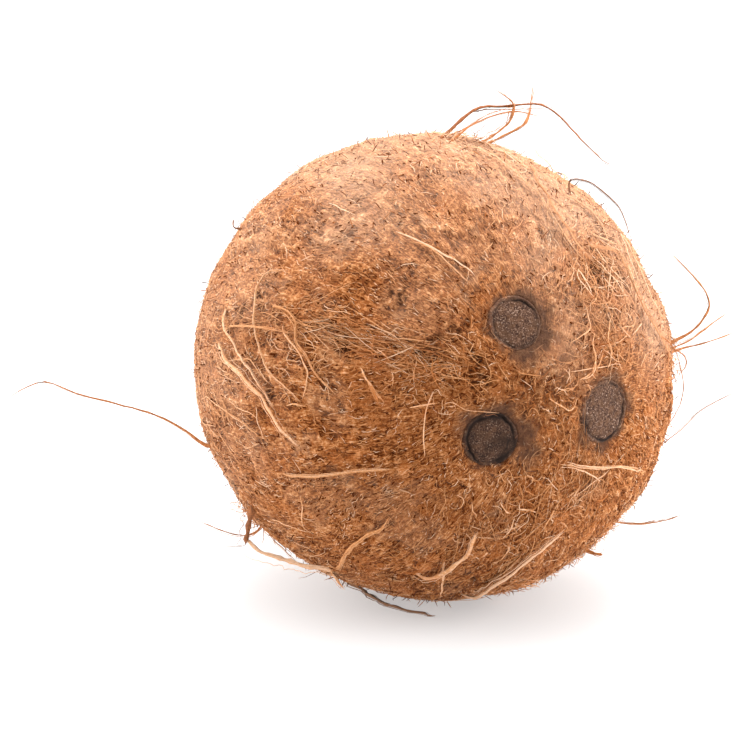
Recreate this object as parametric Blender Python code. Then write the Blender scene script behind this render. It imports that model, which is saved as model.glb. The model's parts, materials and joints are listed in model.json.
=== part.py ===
"""A husked brown coconut lying on its side, in one piece: the nut, its three eyes and its coir strands.

The nut's own frame has +Z along its axis, out through the eye end, and the object is laid over so
that this axis points to -Y and a little up. Places on the nut are (colatitude, longitude, lift):
degrees from the eye end, degrees round the axis from +X, and millimetres above the surface.
"""

import math
import random

import bmesh
import bpy
import numpy as np
from mathutils import Matrix, Vector, noise

MM = 0.001

# The nut
EQUATOR_RADIUS = 56.6 * MM
EYE_END_LENGTH = 58.0 * MM  # from the middle to the eye end
FAR_END_LENGTH = 63.0 * MM  # from the middle to the blossom end
AXIS_TILT = math.radians(8.0)  # how far the eye end points up from level
CENTRE_HEIGHT = 55.3 * MM  # less than the radius below it, which leaves the flat spot

# Its section, which is a little oval and a little three-cornered
OVAL_SHARE, OVAL_LONGITUDE = 0.022, math.radians(-34.0)
LOBE_SHARE, LOBE_LONGITUDE = 0.009, math.radians(-20.0)

# The three seams that run from end to end, one between each two eyes, and fade out at the resting spot
SEAM_LONGITUDES = [math.radians(a) for a in (44.0, 164.0, 277.0)]
SEAM_HEIGHT = 0.6 * MM
SEAM_WIDTH = 9.0 * MM

# The three eyes round the eye end: colatitude and longitude of each one's middle, and its radius
EYE_PLACES = [(math.radians(a), math.radians(b)) for a, b in ((16.6, 110.6), (16.9, 217.1), (17.6, 336.3))]
EYE_RADII = [r * MM for r in (5.2, 5.3, 6.3)]
EYE_GROOVE_RADIUS = 0.6 * MM
EYE_HOLLOW_DEPTH = 0.9 * MM
EYE_HOLLOW_WIDTH = 9.0 * MM

# The matted coir, as relief that runs in streaks from end to end
RELIEF_HEIGHT = 1.1 * MM
RELIEF_STREAKS = 4.4  # noise cells in the radius of the nut's round section
RELIEF_RINGS = 2.4  # noise cells along each radian from end to end
END_FADE = 0.45  # the sine of the angle from either end where it fades out
EYE_FADE = 7.0 * MM  # from the groove round an eye
REST_FADE = 0.45  # the angle, in radians, from the resting spot within which relief and seams fade out

NUT_SEGMENTS, NUT_RINGS = 62, 40

# The strands
ROOT_DEPTH = 2.2 * MM
THINNEST = 0.6 * MM
STRAND_STEPS = 7
SCATTERED_STRANDS = 90
STRAND_SEED = 11
PLACED_SIDE = math.radians(25.0), math.radians(164.0)  # the middle of the side with strands placed one by one
PLACED_SIDE_REACH = math.radians(90.0)
STRAND_CLEARANCE = 5.0 * MM  # between a scattered strand's root and its neighbours
FLOOR_CLEARANCE = 3.0 * MM

# Strands that stand off the nut: name, root and tip thickness in mm, and the route.
# A route begins under the surface. Lifts of 2 and more are in the open air.
STANDING = [
    ("long whisker", 1.0, 0.6, [(102, 196, -2), (103, 194, 2), (105, 189, 6), (106, 185, 12), (107, 182, 21),
                                (108, 180, 29), (109, 178, 36), (109, 179, 42), (109, 181, 47)]),
    ("crown arch", 1.3, 0.6, [(81, 91, -2), (80, 85, 4), (79, 81, 8), (77, 76, 10), (74, 69, 13), (71, 62, 11),
                              (67, 54, 9), (66, 51, 10)]),
    ("crown arch under", 0.9, 0.6, [(77, 90, -2), (76, 85, 3), (75, 80, 7), (74, 75, 9.5), (71, 70, 11)]),
    ("crown hook", 1.2, 0.6, [(76, 83, -2), (75, 77, 4), (75, 75, 7), (76, 75, 11), (78, 79, 13)]),
    ("crown fork", 1.2, 0.6, [(79, 80, -2), (77, 74, 3.5), (76, 71, 7), (77, 70, 10), (78, 71, 17)]),
    ("shoulder loop", 0.6, 0.6, [(57.5, 57.5, -2), (58.6, 61.6, 1.3), (58.4, 62.4, 2.8), (57.6, 61.4, 4),
                                 (56, 58.5, 5.4), (54, 55.1, 5.7), (51.6, 50.8, 5.9), (49.2, 47.7, 5.2),
                                 (46.7, 44.5, 4.3)]),
    ("cheek hook", 1.0, 0.6, [(54, 4, -2), (56, 7, 5), (57, 10, 9), (58, 13, 11), (58, 18, 10.5), (60, 28, 7)]),
    ("cheek spray", 0.7, 0.6, [(53, 3, -2), (54, 5, 4), (56, 8, 10), (57, 10, 14.5)]),
    ("cheek spray low", 0.8, 0.6, [(59, 1, -2), (60, 2.5, 4.5), (60, 3.5, 10), (61, 4.5, 15)]),
    ("cheek droop", 0.7, 0.6, [(58, 4, -2), (58, 1, 2.5), (58, 358, 3), (57.5, 355, 1.2)]),
    ("jaw whisker", 0.6, 0.6, [(53, 331, -2), (53, 340, 3), (54, 347, 7.5), (55, 352, 14.5)]),
    ("chin whisker", 0.7, 0.6, [(61, 309, -2), (61.5, 314, 4), (61.5, 318, 8), (61, 322, 11.5)]),
    ("chin stub", 1.2, 1.0, [(59, 297, -2), (59, 299, 1.5), (59, 301, 3.5)]),
    ("brow knot", 1.1, 0.8, [(103, 138, -2), (103, 140, 1.5), (102.5, 138.5, 3)]),
    ("heel stalk", 2.0, 1.6, [(92.5, 210, -2), (91, 210.8, 0.8), (91.1, 212, 2.4), (91.1, 213.9, 4.8),
                              (91, 215.8, 7)]),
    ("heel ribbon", 1.2, 2.2, [(91, 215, 6), (89.5, 218.2, 5.9), (87.8, 221, 4.8), (85.7, 224.5, 3.4),
                               (83.5, 228, 2.2), (81.5, 231, 0.8), (79.3, 234.4, -1)]),
    ("heel ribbon tip", 1.4, 0.8, [(80.5, 231, -1), (79.5, 232.4, 1.1), (78.4, 232.8, 1.7), (77.2, 233.7, 2.8),
                                   (76.8, 235.5, 3.8)]),
    ("heel whisker", 0.6, 0.6, [(98, 218, -2), (102, 219, 4), (104, 215, 8), (106, 211, 11)]),
    ("floor cord", 1.2, 0.7, [(99, 242, -2), (100, 246, 0.7), (98.5, 250, 1.6), (93.5, 251, 2.2), (87.5, 252.5, 2.7),
                              (83, 254.5, 3.0), (79.5, 257.5, 3.3), (75.5, 260, 4.2)]),
]

# Strands that lie along the nut, a little clear of it. Both ends may dip back under the surface.
LYING = [
    ("temple long", 1.3, 0.9, [(93, 167, -2), (82, 171, 1.4), (75, 174, 1.6), (68, 179, 1.6), (63, 186, 1.6),
                               (59, 192, 1.8)]),
    ("temple middle", 1.2, 0.8, [(90, 156, -2), (83, 163, 1.4), (77, 168, 1.6), (71, 173, 1.6), (64, 182, 1.4)]),
    ("temple inner", 0.9, 0.7, [(66, 146, -2), (73, 150, 1.3), (73, 157, 1.4), (69, 166, 1.6), (64, 173, 1.8),
                                (56, 180, 1.4)]),
    ("temple cross", 0.8, 0.6, [(73, 158, -2), (65, 157, 1.4), (60, 159, 1.6), (57, 165, 1.8), (52, 172, 1.6),
                                (47, 178, 1.4)]),
    ("temple bow", 0.7, 0.6, [(67, 157, -2), (62, 163, 1.2), (58, 166, 1.4), (54.5, 172, 1.6), (56, 180, 1.4)]),
    ("seam thread", 0.7, 0.6, [(94, 166, -2), (80, 164, 1.2), (70, 163, 2.4), (60, 163, 1.2)]),
    ("husk chip", 1.5, 1.2, [(42, 169, -1.5), (39, 175, 1.3), (37.5, 180, 1.4)]),
    ("level stick", 1.0, 0.8, [(77, 199.5, -2), (62, 200, 1.2), (54, 201, 1.3), (46, 202, 1.3), (39, 204.5, 1.4)]),
    ("plumb thread", 0.6, 0.6, [(25, 172, -2), (27, 181, 1.2), (29, 193, 1.2), (31, 205, 1.4)]),
    ("eye lash", 0.6, 0.6, [(25, 184, -2), (22, 182, 1.4), (18.5, 189, 1.6), (12.5, 198, 1.4)]),
    ("cheek rib", 1.4, 1.0, [(80, 233.3, -2), (72.5, 229.5, 1.5), (62.4, 224.3, 1.6), (58.1, 223, 1.6),
                             (53, 221.9, 1.6), (49.7, 222.1, 1.6), (46.1, 219.8, 1.3)]),
    ("chin ribbon", 1.8, 0.9, [(61, 242, -2), (56, 246, 1.6), (50, 248, 1.8), (43, 249, 1.8), (36.5, 246, 1.4)]),
    ("chin ribbon prong", 0.9, 0.7, [(50, 246, -1), (54, 249, 1.3), (60, 253, 1.4), (66, 256, 1.2)]),
    ("chin strap", 1.5, 0.9, [(71, 262, -2), (64, 265, 1.6), (55, 266, 1.8), (46, 270, 1.8), (40, 276, 1.6),
                              (36.5, 283, 1.4)]),
    ("jaw thread", 0.9, 0.6, [(47, 326, -2), (38, 321, 1.4), (30, 316, 1.4), (22, 301, 1.4), (17, 284, 1.3)]),
    ("brow strand", 0.9, 0.7, [(76, 88, -2), (66, 86, 1.4), (57, 81, 1.4), (46, 76, 1.5), (37, 70, 1.5),
                               (32, 62, 1.3)]),
    ("brow strand upper", 1.0, 0.7, [(69, 70, -2), (60, 73, 1.3), (53, 74.5, 1.4), (45, 72, 1.5), (37.5, 67, 1.5),
                                     (33, 57, 1.3)]),
    ("cheek rim", 0.9, 0.7, [(38, 63, -2), (39, 53, 1.4), (41, 45, 1.6), (38, 38, 1.6), (36.5, 25, 1.5),
                             (39, 13, 1.5), (47, 1, 1.3)]),
    ("cheek rim low", 0.7, 0.6, [(37, 20, -2), (45, 7, 1.6), (52, 357, 2.2), (53, 350, 2.4), (46, 342, 1.6),
                                 (39, 332, -1)]),
    ("crown thread", 0.6, 0.6, [(50, 126, -2), (42, 123, 1.2), (35.5, 122, 1.3), (29, 121, 1.3)]),
    ("left thread", 0.6, 0.6, [(94, 180, -2), (82, 183, 1.3), (75, 186, 1.4), (69.5, 190, 1.3)]),
]


def remove_all_objects():
    for obj in list(bpy.data.objects):
        bpy.data.objects.remove(obj)


def new_collection(name):
    collection = bpy.data.collections.new(name)
    bpy.context.scene.collection.children.link(collection)
    return collection


def coir_material():
    material = bpy.data.materials.new("coir")
    material.use_nodes = True
    shader = material.node_tree.nodes["Principled BSDF"]
    shader.inputs["Base Color"].default_value = (0.50, 0.25, 0.11, 1.0)
    shader.inputs["Roughness"].default_value = 0.9
    shader.inputs["Metallic"].default_value = 0.0
    return material


def direction(colatitude, longitude):
    """The unit vector, in the nut's frame, out through a place on it."""
    across = math.sin(colatitude)
    return Vector((across * math.cos(longitude), across * math.sin(longitude), math.cos(colatitude)))


def place_of(unit):
    """The colatitude and longitude, in radians, that a unit vector points out through."""
    return math.acos(max(-1.0, min(1.0, unit.z))), math.atan2(unit.y, unit.x)


def turn_between(a, b):
    """The angle from b to a, between half a turn each way."""
    return (a - b + math.pi) % (2 * math.pi) - math.pi


def gaps_to_eyes(unit):
    """The distances along the surface from a place to the middles of the eyes."""
    return [unit.angle(direction(*place), 0.0) * EQUATOR_RADIUS for place in EYE_PLACES]


def clear_of_rest(unit):
    """0 at the middle of the spot that the nut rests on, and 1 well away from it."""
    downwards = Vector((0, -math.cos(AXIS_TILT), -math.sin(AXIS_TILT)))
    return 1 - math.exp(-((unit.angle(downwards) / REST_FADE) ** 2))


def nut_radius(unit):
    """How far the nut's smooth form reaches along a unit vector."""
    colatitude, longitude = place_of(unit)
    along, across = math.cos(colatitude), math.sin(colatitude)
    half_length = EYE_END_LENGTH if along > 0 else FAR_END_LENGTH
    radius = 1 / math.hypot(along / half_length, across / EQUATOR_RADIUS)
    oval = OVAL_SHARE * math.cos(2 * (longitude - OVAL_LONGITUDE))
    lobes = LOBE_SHARE * math.cos(3 * (longitude - LOBE_LONGITUDE))
    radius *= 1 + across**2 * (oval + lobes)
    from_axis = EQUATOR_RADIUS * across
    seam_height = SEAM_HEIGHT * clear_of_rest(unit) * (1 - math.exp(-((from_axis / (2 * SEAM_WIDTH)) ** 2)))
    for seam in SEAM_LONGITUDES:
        to_side = from_axis * turn_between(longitude, seam)
        radius += seam_height * math.exp(-((to_side / SEAM_WIDTH) ** 2))
    hollow = math.exp(-((min(gaps_to_eyes(unit)) / EYE_HOLLOW_WIDTH) ** 2))
    return radius - EYE_HOLLOW_DEPTH * hollow


def coir_relief(unit):
    """Streaks of matted fibre, in metres, which leave the eyes smooth."""
    colatitude, longitude = place_of(unit)
    streaks = noise.noise(Vector((RELIEF_STREAKS * math.cos(longitude), RELIEF_STREAKS * math.sin(longitude),
                                  RELIEF_RINGS * colatitude)))
    clear_of_ends = 1 - math.exp(-((math.sin(colatitude) / END_FADE) ** 2))
    past_groove = min(gap - radius for gap, radius in zip(gaps_to_eyes(unit), EYE_RADII))
    clear_of_eye = min(1.0, max(0.0, past_groove / EYE_FADE))
    return RELIEF_HEIGHT * streaks * clear_of_ends * clear_of_rest(unit) * clear_of_eye


def nut_point(colatitude_deg, longitude_deg, lift_mm):
    """A point in the nut's frame from its place in degrees and its lift in millimetres."""
    unit = direction(math.radians(colatitude_deg), math.radians(longitude_deg))
    return unit * (nut_radius(unit) + lift_mm * MM)


def nut_placing():
    """The matrix that lays the nut over, its eye end to -Y and tilted up."""
    return Matrix.Translation((0, 0, CENTRE_HEIGHT)) @ Matrix.Rotation(math.pi / 2 - AXIS_TILT, 4, "X")


def place(obj):
    obj.matrix_world = nut_placing()


def make_nut(collection, material):
    """A UV sphere with its poles at the nut's ends, drawn out to the nut's radius and relief."""
    mesh = bpy.data.meshes.new("coconut")
    shape = bmesh.new()
    bmesh.ops.create_uvsphere(shape, u_segments=NUT_SEGMENTS, v_segments=NUT_RINGS, radius=1.0)
    for vertex in shape.verts:
        unit = vertex.co.normalized()
        vertex.co = unit * (nut_radius(unit) + coir_relief(unit))
    bmesh.ops.recalc_face_normals(shape, faces=shape.faces)
    shape.to_mesh(mesh)
    shape.free()
    mesh.materials.append(material)
    mesh.shade_smooth()
    nut = bpy.data.objects.new("coconut", mesh)
    collection.objects.link(nut)
    place(nut)
    return nut


def make_eye_cutter(collection, place, radius):
    """A ring whose lower half cuts the groove round one eye."""
    unit = direction(*place)
    bpy.ops.mesh.primitive_torus_add(
        major_radius=radius, minor_radius=EYE_GROOVE_RADIUS, major_segments=28, minor_segments=6)
    ring = bpy.context.object
    ring.name = "eye_groove_cutter"
    drop = radius**2 / (2 * EQUATOR_RADIUS)  # of the surface, from the eye's middle to its rim
    hollow_rise = EYE_HOLLOW_DEPTH * (1 - math.exp(-((radius / EYE_HOLLOW_WIDTH) ** 2)))
    middle = unit * (nut_radius(unit) - drop + hollow_rise)
    ring.matrix_world = nut_placing() @ Matrix.Translation(middle) @ unit.to_track_quat("Z", "Y").to_matrix().to_4x4()
    move_to(ring, collection)
    return ring


def make_floor_cutter(collection):
    """A block whose top is the surface that the nut lies on."""
    side = 4 * EQUATOR_RADIUS
    bpy.ops.mesh.primitive_cube_add(size=side, location=(0, 0, -side / 2))
    block = bpy.context.object
    block.name = "floor_cutter"
    move_to(block, collection)
    return block


def move_to(obj, collection):
    for other in list(obj.users_collection):
        other.objects.unlink(obj)
    collection.objects.link(obj)
    obj.hide_render = True
    obj.display_type = "WIRE"


def smooth_route(points, steps):
    """Points evenly spaced along a Catmull-Rom curve through the given ones."""
    known = np.array([tuple(p) for p in points])
    ends = np.vstack([2 * known[0] - known[1], known, 2 * known[-1] - known[-2]])
    fine = []
    for a, b, c, d in zip(ends[:-3], ends[1:-2], ends[2:-1], ends[3:]):
        for t in np.linspace(0, 1, 12, endpoint=False):
            fine.append(0.5 * (2 * b + (c - a) * t + (2 * a - 5 * b + 4 * c - d) * t**2
                               + (3 * b - a - 3 * c + d) * t**3))
    fine.append(known[-1])
    fine = np.array(fine)
    along = np.concatenate([[0], np.cumsum(np.linalg.norm(np.diff(fine, axis=0), axis=1))])
    at = np.linspace(0, along[-1], steps + 1)
    return np.column_stack([np.interp(at, along, fine[:, axis]) for axis in range(3)])


def make_strand(name, route, root_thickness, tip_thickness, steps, collection):
    """A tapered tube along a route in the nut's frame, as a closed mesh."""
    line = bpy.data.curves.new(name, "CURVE")
    line.dimensions = "3D"
    line.bevel_depth = 0.5 * MM  # so that a point's radius is its thickness in millimetres
    line.bevel_resolution = 0
    line.use_fill_caps = True
    spline = line.splines.new("POLY")
    points = smooth_route(route, steps)
    spline.points.add(len(points) - 1)
    for i, (point, at) in enumerate(zip(spline.points, points)):
        share = i / (len(points) - 1)
        point.co = (*at, 1.0)
        point.radius = max(THINNEST, root_thickness + (tip_thickness - root_thickness) * share) / MM
    guide = bpy.data.objects.new(name, line)
    collection.objects.link(guide)
    place(guide)
    bpy.context.view_layer.update()
    mesh = bpy.data.meshes.new_from_object(guide.evaluated_get(bpy.context.evaluated_depsgraph_get()))
    shape = bmesh.new()
    shape.from_mesh(mesh)
    bmesh.ops.remove_doubles(shape, verts=shape.verts, dist=1e-6)
    bmesh.ops.recalc_face_normals(shape, faces=shape.faces)
    shape.to_mesh(mesh)
    shape.free()
    strand = bpy.data.objects.new(name, mesh)
    strand.matrix_world = guide.matrix_world
    bpy.data.objects.remove(guide)
    collection.objects.link(strand)
    return strand


def walk(unit, heading, length, bend, lifts_mm):
    """A route over the nut from a place: its heading is from the meridian, and it turns by bend in all."""
    to_far_end = (unit * unit.z - Vector((0, 0, 1))).normalized()
    to_east = Vector((0, 0, 1)).cross(unit).normalized()
    way = math.cos(heading) * to_far_end + math.sin(heading) * to_east
    step = length / (len(lifts_mm) - 1) / EQUATOR_RADIUS
    turn = bend / (len(lifts_mm) - 1)
    route = []
    for lift in lifts_mm:
        route.append(unit * (nut_radius(unit) + lift * MM))
        unit, way = unit * math.cos(step) + way * math.sin(step), way * math.cos(step) - unit * math.sin(step)
        way = way * math.cos(turn) + unit.cross(way) * math.sin(turn)
    return route


def scattered_routes(taken):
    """Routes of strands spread evenly over the rest of the nut, clear of the routes taken and the floor."""
    draw = random.Random(STRAND_SEED)
    golden = math.pi * (3 - math.sqrt(5))
    to_world = nut_placing()
    routes = []
    for i in range(SCATTERED_STRANDS):
        colatitude = math.acos(1 - 2 * (i + 0.5) / SCATTERED_STRANDS)
        unit = direction(colatitude, i * golden + draw.uniform(-0.12, 0.12))
        heading = draw.choice((0.0, math.pi)) + draw.gauss(0.0, 0.55)
        bend = draw.gauss(0.0, 0.5)
        if draw.random() < 0.3:
            reach = draw.uniform(5.0, 13.0)
            lifts = [-ROOT_DEPTH / MM, 1.8, 0.35 * reach, 0.65 * reach, reach]
            length, thickness = draw.uniform(9, 20) * MM, draw.uniform(0.65, 1.0) * MM
        else:
            lifts = [-ROOT_DEPTH / MM, 1.3, 1.6, 1.7, draw.uniform(1.2, 2.6)]
            length, thickness = draw.uniform(15, 32) * MM, draw.uniform(0.65, 1.3) * MM
        route = walk(unit, heading, length, bend, lifts)
        root_gap = min((route[0] - other).length for other in taken)
        side_gap = min(point.angle(direction(*PLACED_SIDE)) for point in route)
        lowest = min((to_world @ point).z for point in route)
        if root_gap > STRAND_CLEARANCE and side_gap > PLACED_SIDE_REACH and lowest > FLOOR_CLEARANCE:
            routes.append((route, thickness))
            taken = taken + route
    return routes


def make_strands(collection):
    """Every coir strand, those placed by hand first."""
    taken = []
    for name, root_mm, tip_mm, places in STANDING + LYING:
        route = [nut_point(*at) for at in places]
        steps = max(len(places), STRAND_STEPS)
        make_strand(name, route, root_mm * MM, tip_mm * MM, steps, collection)
        taken += route
    for i, (route, thickness) in enumerate(scattered_routes(taken)):
        make_strand(f"scattered {i}", route, thickness, THINNEST, STRAND_STEPS - 1, collection)


def apply_boolean(obj, operation, other=None, collection=None, solver="EXACT"):
    """Joins or cuts obj by an object or a collection, for good."""
    modifier = obj.modifiers.new(operation.lower(), "BOOLEAN")
    modifier.operation = operation
    modifier.solver = solver
    if collection:
        modifier.operand_type = "COLLECTION"
        modifier.collection = collection
    else:
        modifier.object = other
    bpy.context.view_layer.update()
    with bpy.context.temp_override(object=obj, active_object=obj):
        bpy.ops.object.modifier_apply(modifier=modifier.name)


def main():
    remove_all_objects()
    coconut_parts = new_collection("coconut_parts")
    strands = new_collection("strands")
    cutters = new_collection("cutters")

    nut = make_nut(coconut_parts, coir_material())
    for place, radius in zip(EYE_PLACES, EYE_RADII):
        apply_boolean(nut, "DIFFERENCE", other=make_eye_cutter(cutters, place, radius))
    make_strands(strands)
    apply_boolean(nut, "UNION", collection=strands)
    apply_boolean(nut, "DIFFERENCE", other=make_floor_cutter(cutters))
    for strand in list(strands.objects):
        bpy.data.objects.remove(strand)


main()
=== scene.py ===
"""A husked brown coconut on its side, dressed over its plain solid: shell, eyes, matted coir, loose strands.

Lengths are in millimetres until a mesh is made. The nut's own frame has +Z along its axis, out through the
eye end. A place on the nut is (colatitude, longitude) in degrees, from the eye end and round the axis, and a
lift is a height above the surface. A tone is how pale a fibre is, from 0 to 1.
"""

import json
import math
import random
from functools import partial

import bmesh
import bpy
import numpy as np
from mathutils import Matrix, Vector, noise

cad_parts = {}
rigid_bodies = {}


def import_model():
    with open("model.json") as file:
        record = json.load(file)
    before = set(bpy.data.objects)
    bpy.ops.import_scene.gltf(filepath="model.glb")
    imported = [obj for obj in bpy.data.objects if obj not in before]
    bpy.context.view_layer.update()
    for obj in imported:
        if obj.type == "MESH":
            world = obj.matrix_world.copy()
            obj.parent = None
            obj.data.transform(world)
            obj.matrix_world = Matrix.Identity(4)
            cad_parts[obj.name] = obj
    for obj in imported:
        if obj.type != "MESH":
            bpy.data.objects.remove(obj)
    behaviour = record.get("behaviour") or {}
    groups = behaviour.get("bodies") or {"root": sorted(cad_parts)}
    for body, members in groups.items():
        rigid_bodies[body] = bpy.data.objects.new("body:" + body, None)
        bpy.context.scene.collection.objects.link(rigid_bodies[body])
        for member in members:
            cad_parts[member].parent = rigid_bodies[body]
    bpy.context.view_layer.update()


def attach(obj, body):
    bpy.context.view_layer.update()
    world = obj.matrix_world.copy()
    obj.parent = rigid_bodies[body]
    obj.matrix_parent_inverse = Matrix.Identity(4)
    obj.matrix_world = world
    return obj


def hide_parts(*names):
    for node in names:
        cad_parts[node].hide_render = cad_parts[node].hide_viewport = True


MM = 0.001
SEED = 7

# ---- the nut, as in its solid

EQUATOR_RADIUS = 56.6
EYE_END_LENGTH = 58.0
FAR_END_LENGTH = 63.0
AXIS_TILT = math.radians(8.0)
CENTRE_HEIGHT = 55.3
LOWEST = 0.05  # nothing reaches nearer to the floor
OVAL_SHARE, OVAL_LONGITUDE = 0.022, math.radians(-34.0)
LOBE_SHARE, LOBE_LONGITUDE = 0.009, math.radians(-20.0)
SEAM_LONGITUDES = [math.radians(a) for a in (44.0, 164.0, 277.0)]
SEAM_HEIGHT, SEAM_WIDTH = 0.6, 9.0
EYE_PLACES = np.array([(16.6, 110.6), (16.9, 217.1), (17.6, 336.3)])
EYE_RADII = (5.2, 5.3, 6.3)
EYE_HOLLOW_DEPTH, EYE_HOLLOW_WIDTH = 0.9, 9.0
RELIEF_HEIGHT, RELIEF_STREAKS, RELIEF_RINGS = 1.1, 4.4, 2.4
END_FADE, EYE_FADE, REST_FADE = 0.45, 7.0, 0.45

# ---- the mat of coir

FELT_SUBDIVISIONS = 8  # triangles half a millimetre across
FELT_SUNK = 0.1  # how far the felt lies under the fibres' roots
FELT_RELIEF = 0.55  # the height of its streaks and knots
FINE_STREAKS, FINER_STREAKS = (26.0, 7.0), (48.0, 12.0)  # cells round the nut and along it
HOLLOW_DEPTH = 0.9
FELT_UNDER_EYE = 1.5  # how far it dives under an eye
FIBRE_ROUNDNESS = 0.8  # how much each fibre takes light as a round thing, not as part of the mat
ROOT_SUNK = 0.2
EYE_OVERHANG = 0.4  # how far a fibre may reach over an eye
ROOTS_KEPT = 0.66  # the share of roots that the eyes and the mat's pits leave
PALE_FIBRES, PALER_BY = 0.08, 0.22  # the share of fibres that are paler, and by how much

# The kinds of fibre all over the mat. Each has how many, how far they stray from the grain in radians, their
# middle tone and the size of patches of one tone, and may have its own scatter of tones or share of the
# mat's painted highlight. Then come the length, the spread of lengths, the bend in radians, the thinnest and
# thickest, the points along each fibre, how high its middle arches and how high its tip stands.
# Grains are the shortest fibres and bits of pith, which make the mat look granular.
GRAINS = dict(count=41000, stray=0.22, tone=0.53, patch=3.0, scatter=0.24,
              length=1.5, spread=0.45, bend=0.9, thickness=(0.15, 0.3), steps=3, arch=0.25, stand=0.05)
# Longer fibres felted into the mat.
FELTED = dict(count=7000, stray=0.3, tone=0.5, patch=5.0,
              length=3.6, spread=0.4, bend=0.9, thickness=(0.12, 0.26), steps=4, arch=0.35, stand=0.08)
# Short dark ends that stand off the mat, which roughen the nut's outline, with none of the painted
# highlight.
BRISTLES = dict(count=2600, stray=1.0, tone=0.16, patch=8.0, painted_highlight_share=0.0,
                length=1.8, spread=0.3, bend=0.9, thickness=(0.2, 0.34), steps=4, arch=0.3, stand=1.15)
# Single long fibres on top of the mat.
THREADS = dict(count=700, stray=0.35, tone=0.55, patch=8.0,
               length=7.0, spread=0.4, bend=1.0, thickness=(0.12, 0.22), steps=8, arch=0.5, stand=0.15)
# Painted shade: the shadowed gaps between the fibres, drawn as short flat dark fibres.
FLECKS = 5000
FLECK_STRAY = 0.12
FLECK_SHAPE = dict(length=1.5, spread=0.45, bend=0.8, thickness=(0.22, 0.5), steps=4, arch=0.25, stand=0.0)
BUNCH_SHAPE = dict(spread=0.3, thickness=(0.14, 0.26), steps=12, arch=0.6)

# Where fibres bunch together: colatitude, longitude, spread along and across the meridian, how many,
# heading from the meridian and its scatter in degrees, length, bend in radians, and how high tips stand
BUNCHES = {
    "seam fibres, far": (56, 160, 11, 2.0, 26, 2, 7, 13, 0.4, 0.2),
    "seam fibres": (42, 160.5, 12, 2.2, 90, 3, 6, 13, 0.4, 0.2),
    "seam fibres, near": (27, 162, 7, 2.4, 40, 4, 10, 10, 0.6, 0.2),
    "temple curls": (62, 166, 6, 4.5, 60, 20, 50, 5, 1.8, 0.5),
    "temple curls, low": (53, 172, 7, 3.5, 50, 10, 45, 5, 1.8, 0.4),
    "brow knot curls": (24.5, 173, 2.4, 2.4, 34, 0, 90, 3.4, 1.8, 0.5),
    "seam tangle": (33, 166, 6, 3.0, 40, 10, 40, 6, 1.6, 0.4),
    "net": (35, 47, 6, 5.5, 120, 60, 50, 9, 0.7, 0.4),
    "net, low": (25, 42, 6, 6.0, 60, 70, 30, 8, 0.6, 0.3),
    "cheek fibres": (16, 25, 6, 5.0, 50, 75, 30, 6, 0.9, 0.3),
    "curls between the eyes": (5, 330, 4.5, 3.5, 55, 0, 90, 3.5, 2.4, 0.5),
    "jaw bundle": (22, 297, 9, 1.2, 26, -30, 10, 13, 0.3, 0.3),
    "jaw mat": (27, 290, 6, 8.0, 90, -40, 30, 7, 1.2, 0.4),
    "chin mat": (33, 262, 7, 8.0, 120, 30, 40, 6, 1.6, 0.5),
    "chin strap fibres": (50, 268, 13, 2.0, 60, -8, 9, 15, 0.3, 0.3),
    "chin ribbon fibres": (48, 248, 9, 1.5, 24, 5, 9, 11, 0.3, 0.4),
    "crown roots": (79, 84, 4, 4.0, 70, 40, 40, 5, 1.5, 1.6),
    "crown edge": (65, 74, 10, 2.5, 40, 20, 20, 8, 0.8, 0.4),
    "cheek roots": (57, 2, 4, 3.0, 50, 30, 50, 5, 1.5, 1.5),
    "chin tufts": (61, 306, 4, 6.0, 90, 60, 50, 2.6, 0.8, 0.9),
    "chin edge": (66, 292, 6, 8.0, 90, 40, 50, 2.4, 0.8, 0.9),
    "chin flap": (59, 275, 1.8, 3.0, 80, 70, 16, 5.0, 0.4, 1.3),
    "heel roots": (98, 214, 3, 3.0, 50, 40, 60, 5, 1.5, 1.8),
    "whisker root": (103, 194, 2, 2.0, 26, 20, 50, 4, 1.5, 1.0),
    "left rim": (95, 185, 9, 9.0, 70, -30, 20, 9, 0.7, 0.5),
}

# Grey weathered patches, hollows that are sunk and darkened with painted shade, and smudges of nearly bare
# shell: colatitude, longitude, radius
GREY_PATCHES = [(64.5, 119, 4.5), (57.6, 136, 3.5), (49, 118, 4), (37.6, 146, 3), (71, 151, 3),
                (44, 215, 5), (44.4, 98.5, 4), (36.4, 79.4, 3.5), (60, 193, 4), (52, 205, 4.5),
                (30, 120, 4), (33, 250, 4)]
HOLLOWS_WITH_PAINTED_SHADE = [(54, 158, 1.2), (50, 157.5, 1.2), (46, 158, 1.3), (42, 157.5, 1.2), (36, 159, 1.3),
           (31, 158, 1.6), (40.2, 142, 1.4), (73.3, 156, 2), (28.1, 157, 2.8), (24, 141, 1.8),
           (17.2, 152, 1.6), (79.7, 160, 2), (31.9, 50, 2.8), (16, 167, 2), (66, 178, 1.5),
           (47, 164, 1.8), (36.5, 40, 2), (56, 262, 2), (66, 240, 2), (62, 252, 2.2), (58, 247, 1.6),
           (68, 262, 2.0), (52, 272, 1.8), (65.5, 242.2, 1.2), (64.4, 245.8, 1.3), (63, 249.5, 1.3),
           (61.7, 253.3, 1.3), (61.2, 256.7, 1.2), (72.3, 253.6, 2), (74.2, 259, 2.2), (75.1, 263.7, 2.2),
           (75.7, 268.2, 2.2), (75.8, 272.4, 2)]
SMUDGES = [(12.1, 95.6, 4.1), (10.1, 117.3, 3.2), (19.6, 99, 4.0), (16.7, 88.9, 3.0), (20, 120.2, 2.6),
           (11.8, 233.6, 4.1), (11.4, 202.2, 2.8), (14.7, 251.7, 2.4), (19.1, 197, 2.6),
           (18.3, 356.8, 3.2), (24.3, 344.8, 2.4), (15.5, 311.8, 2.8), (21.8, 317, 2.6)]

# ---- the eyes

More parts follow.
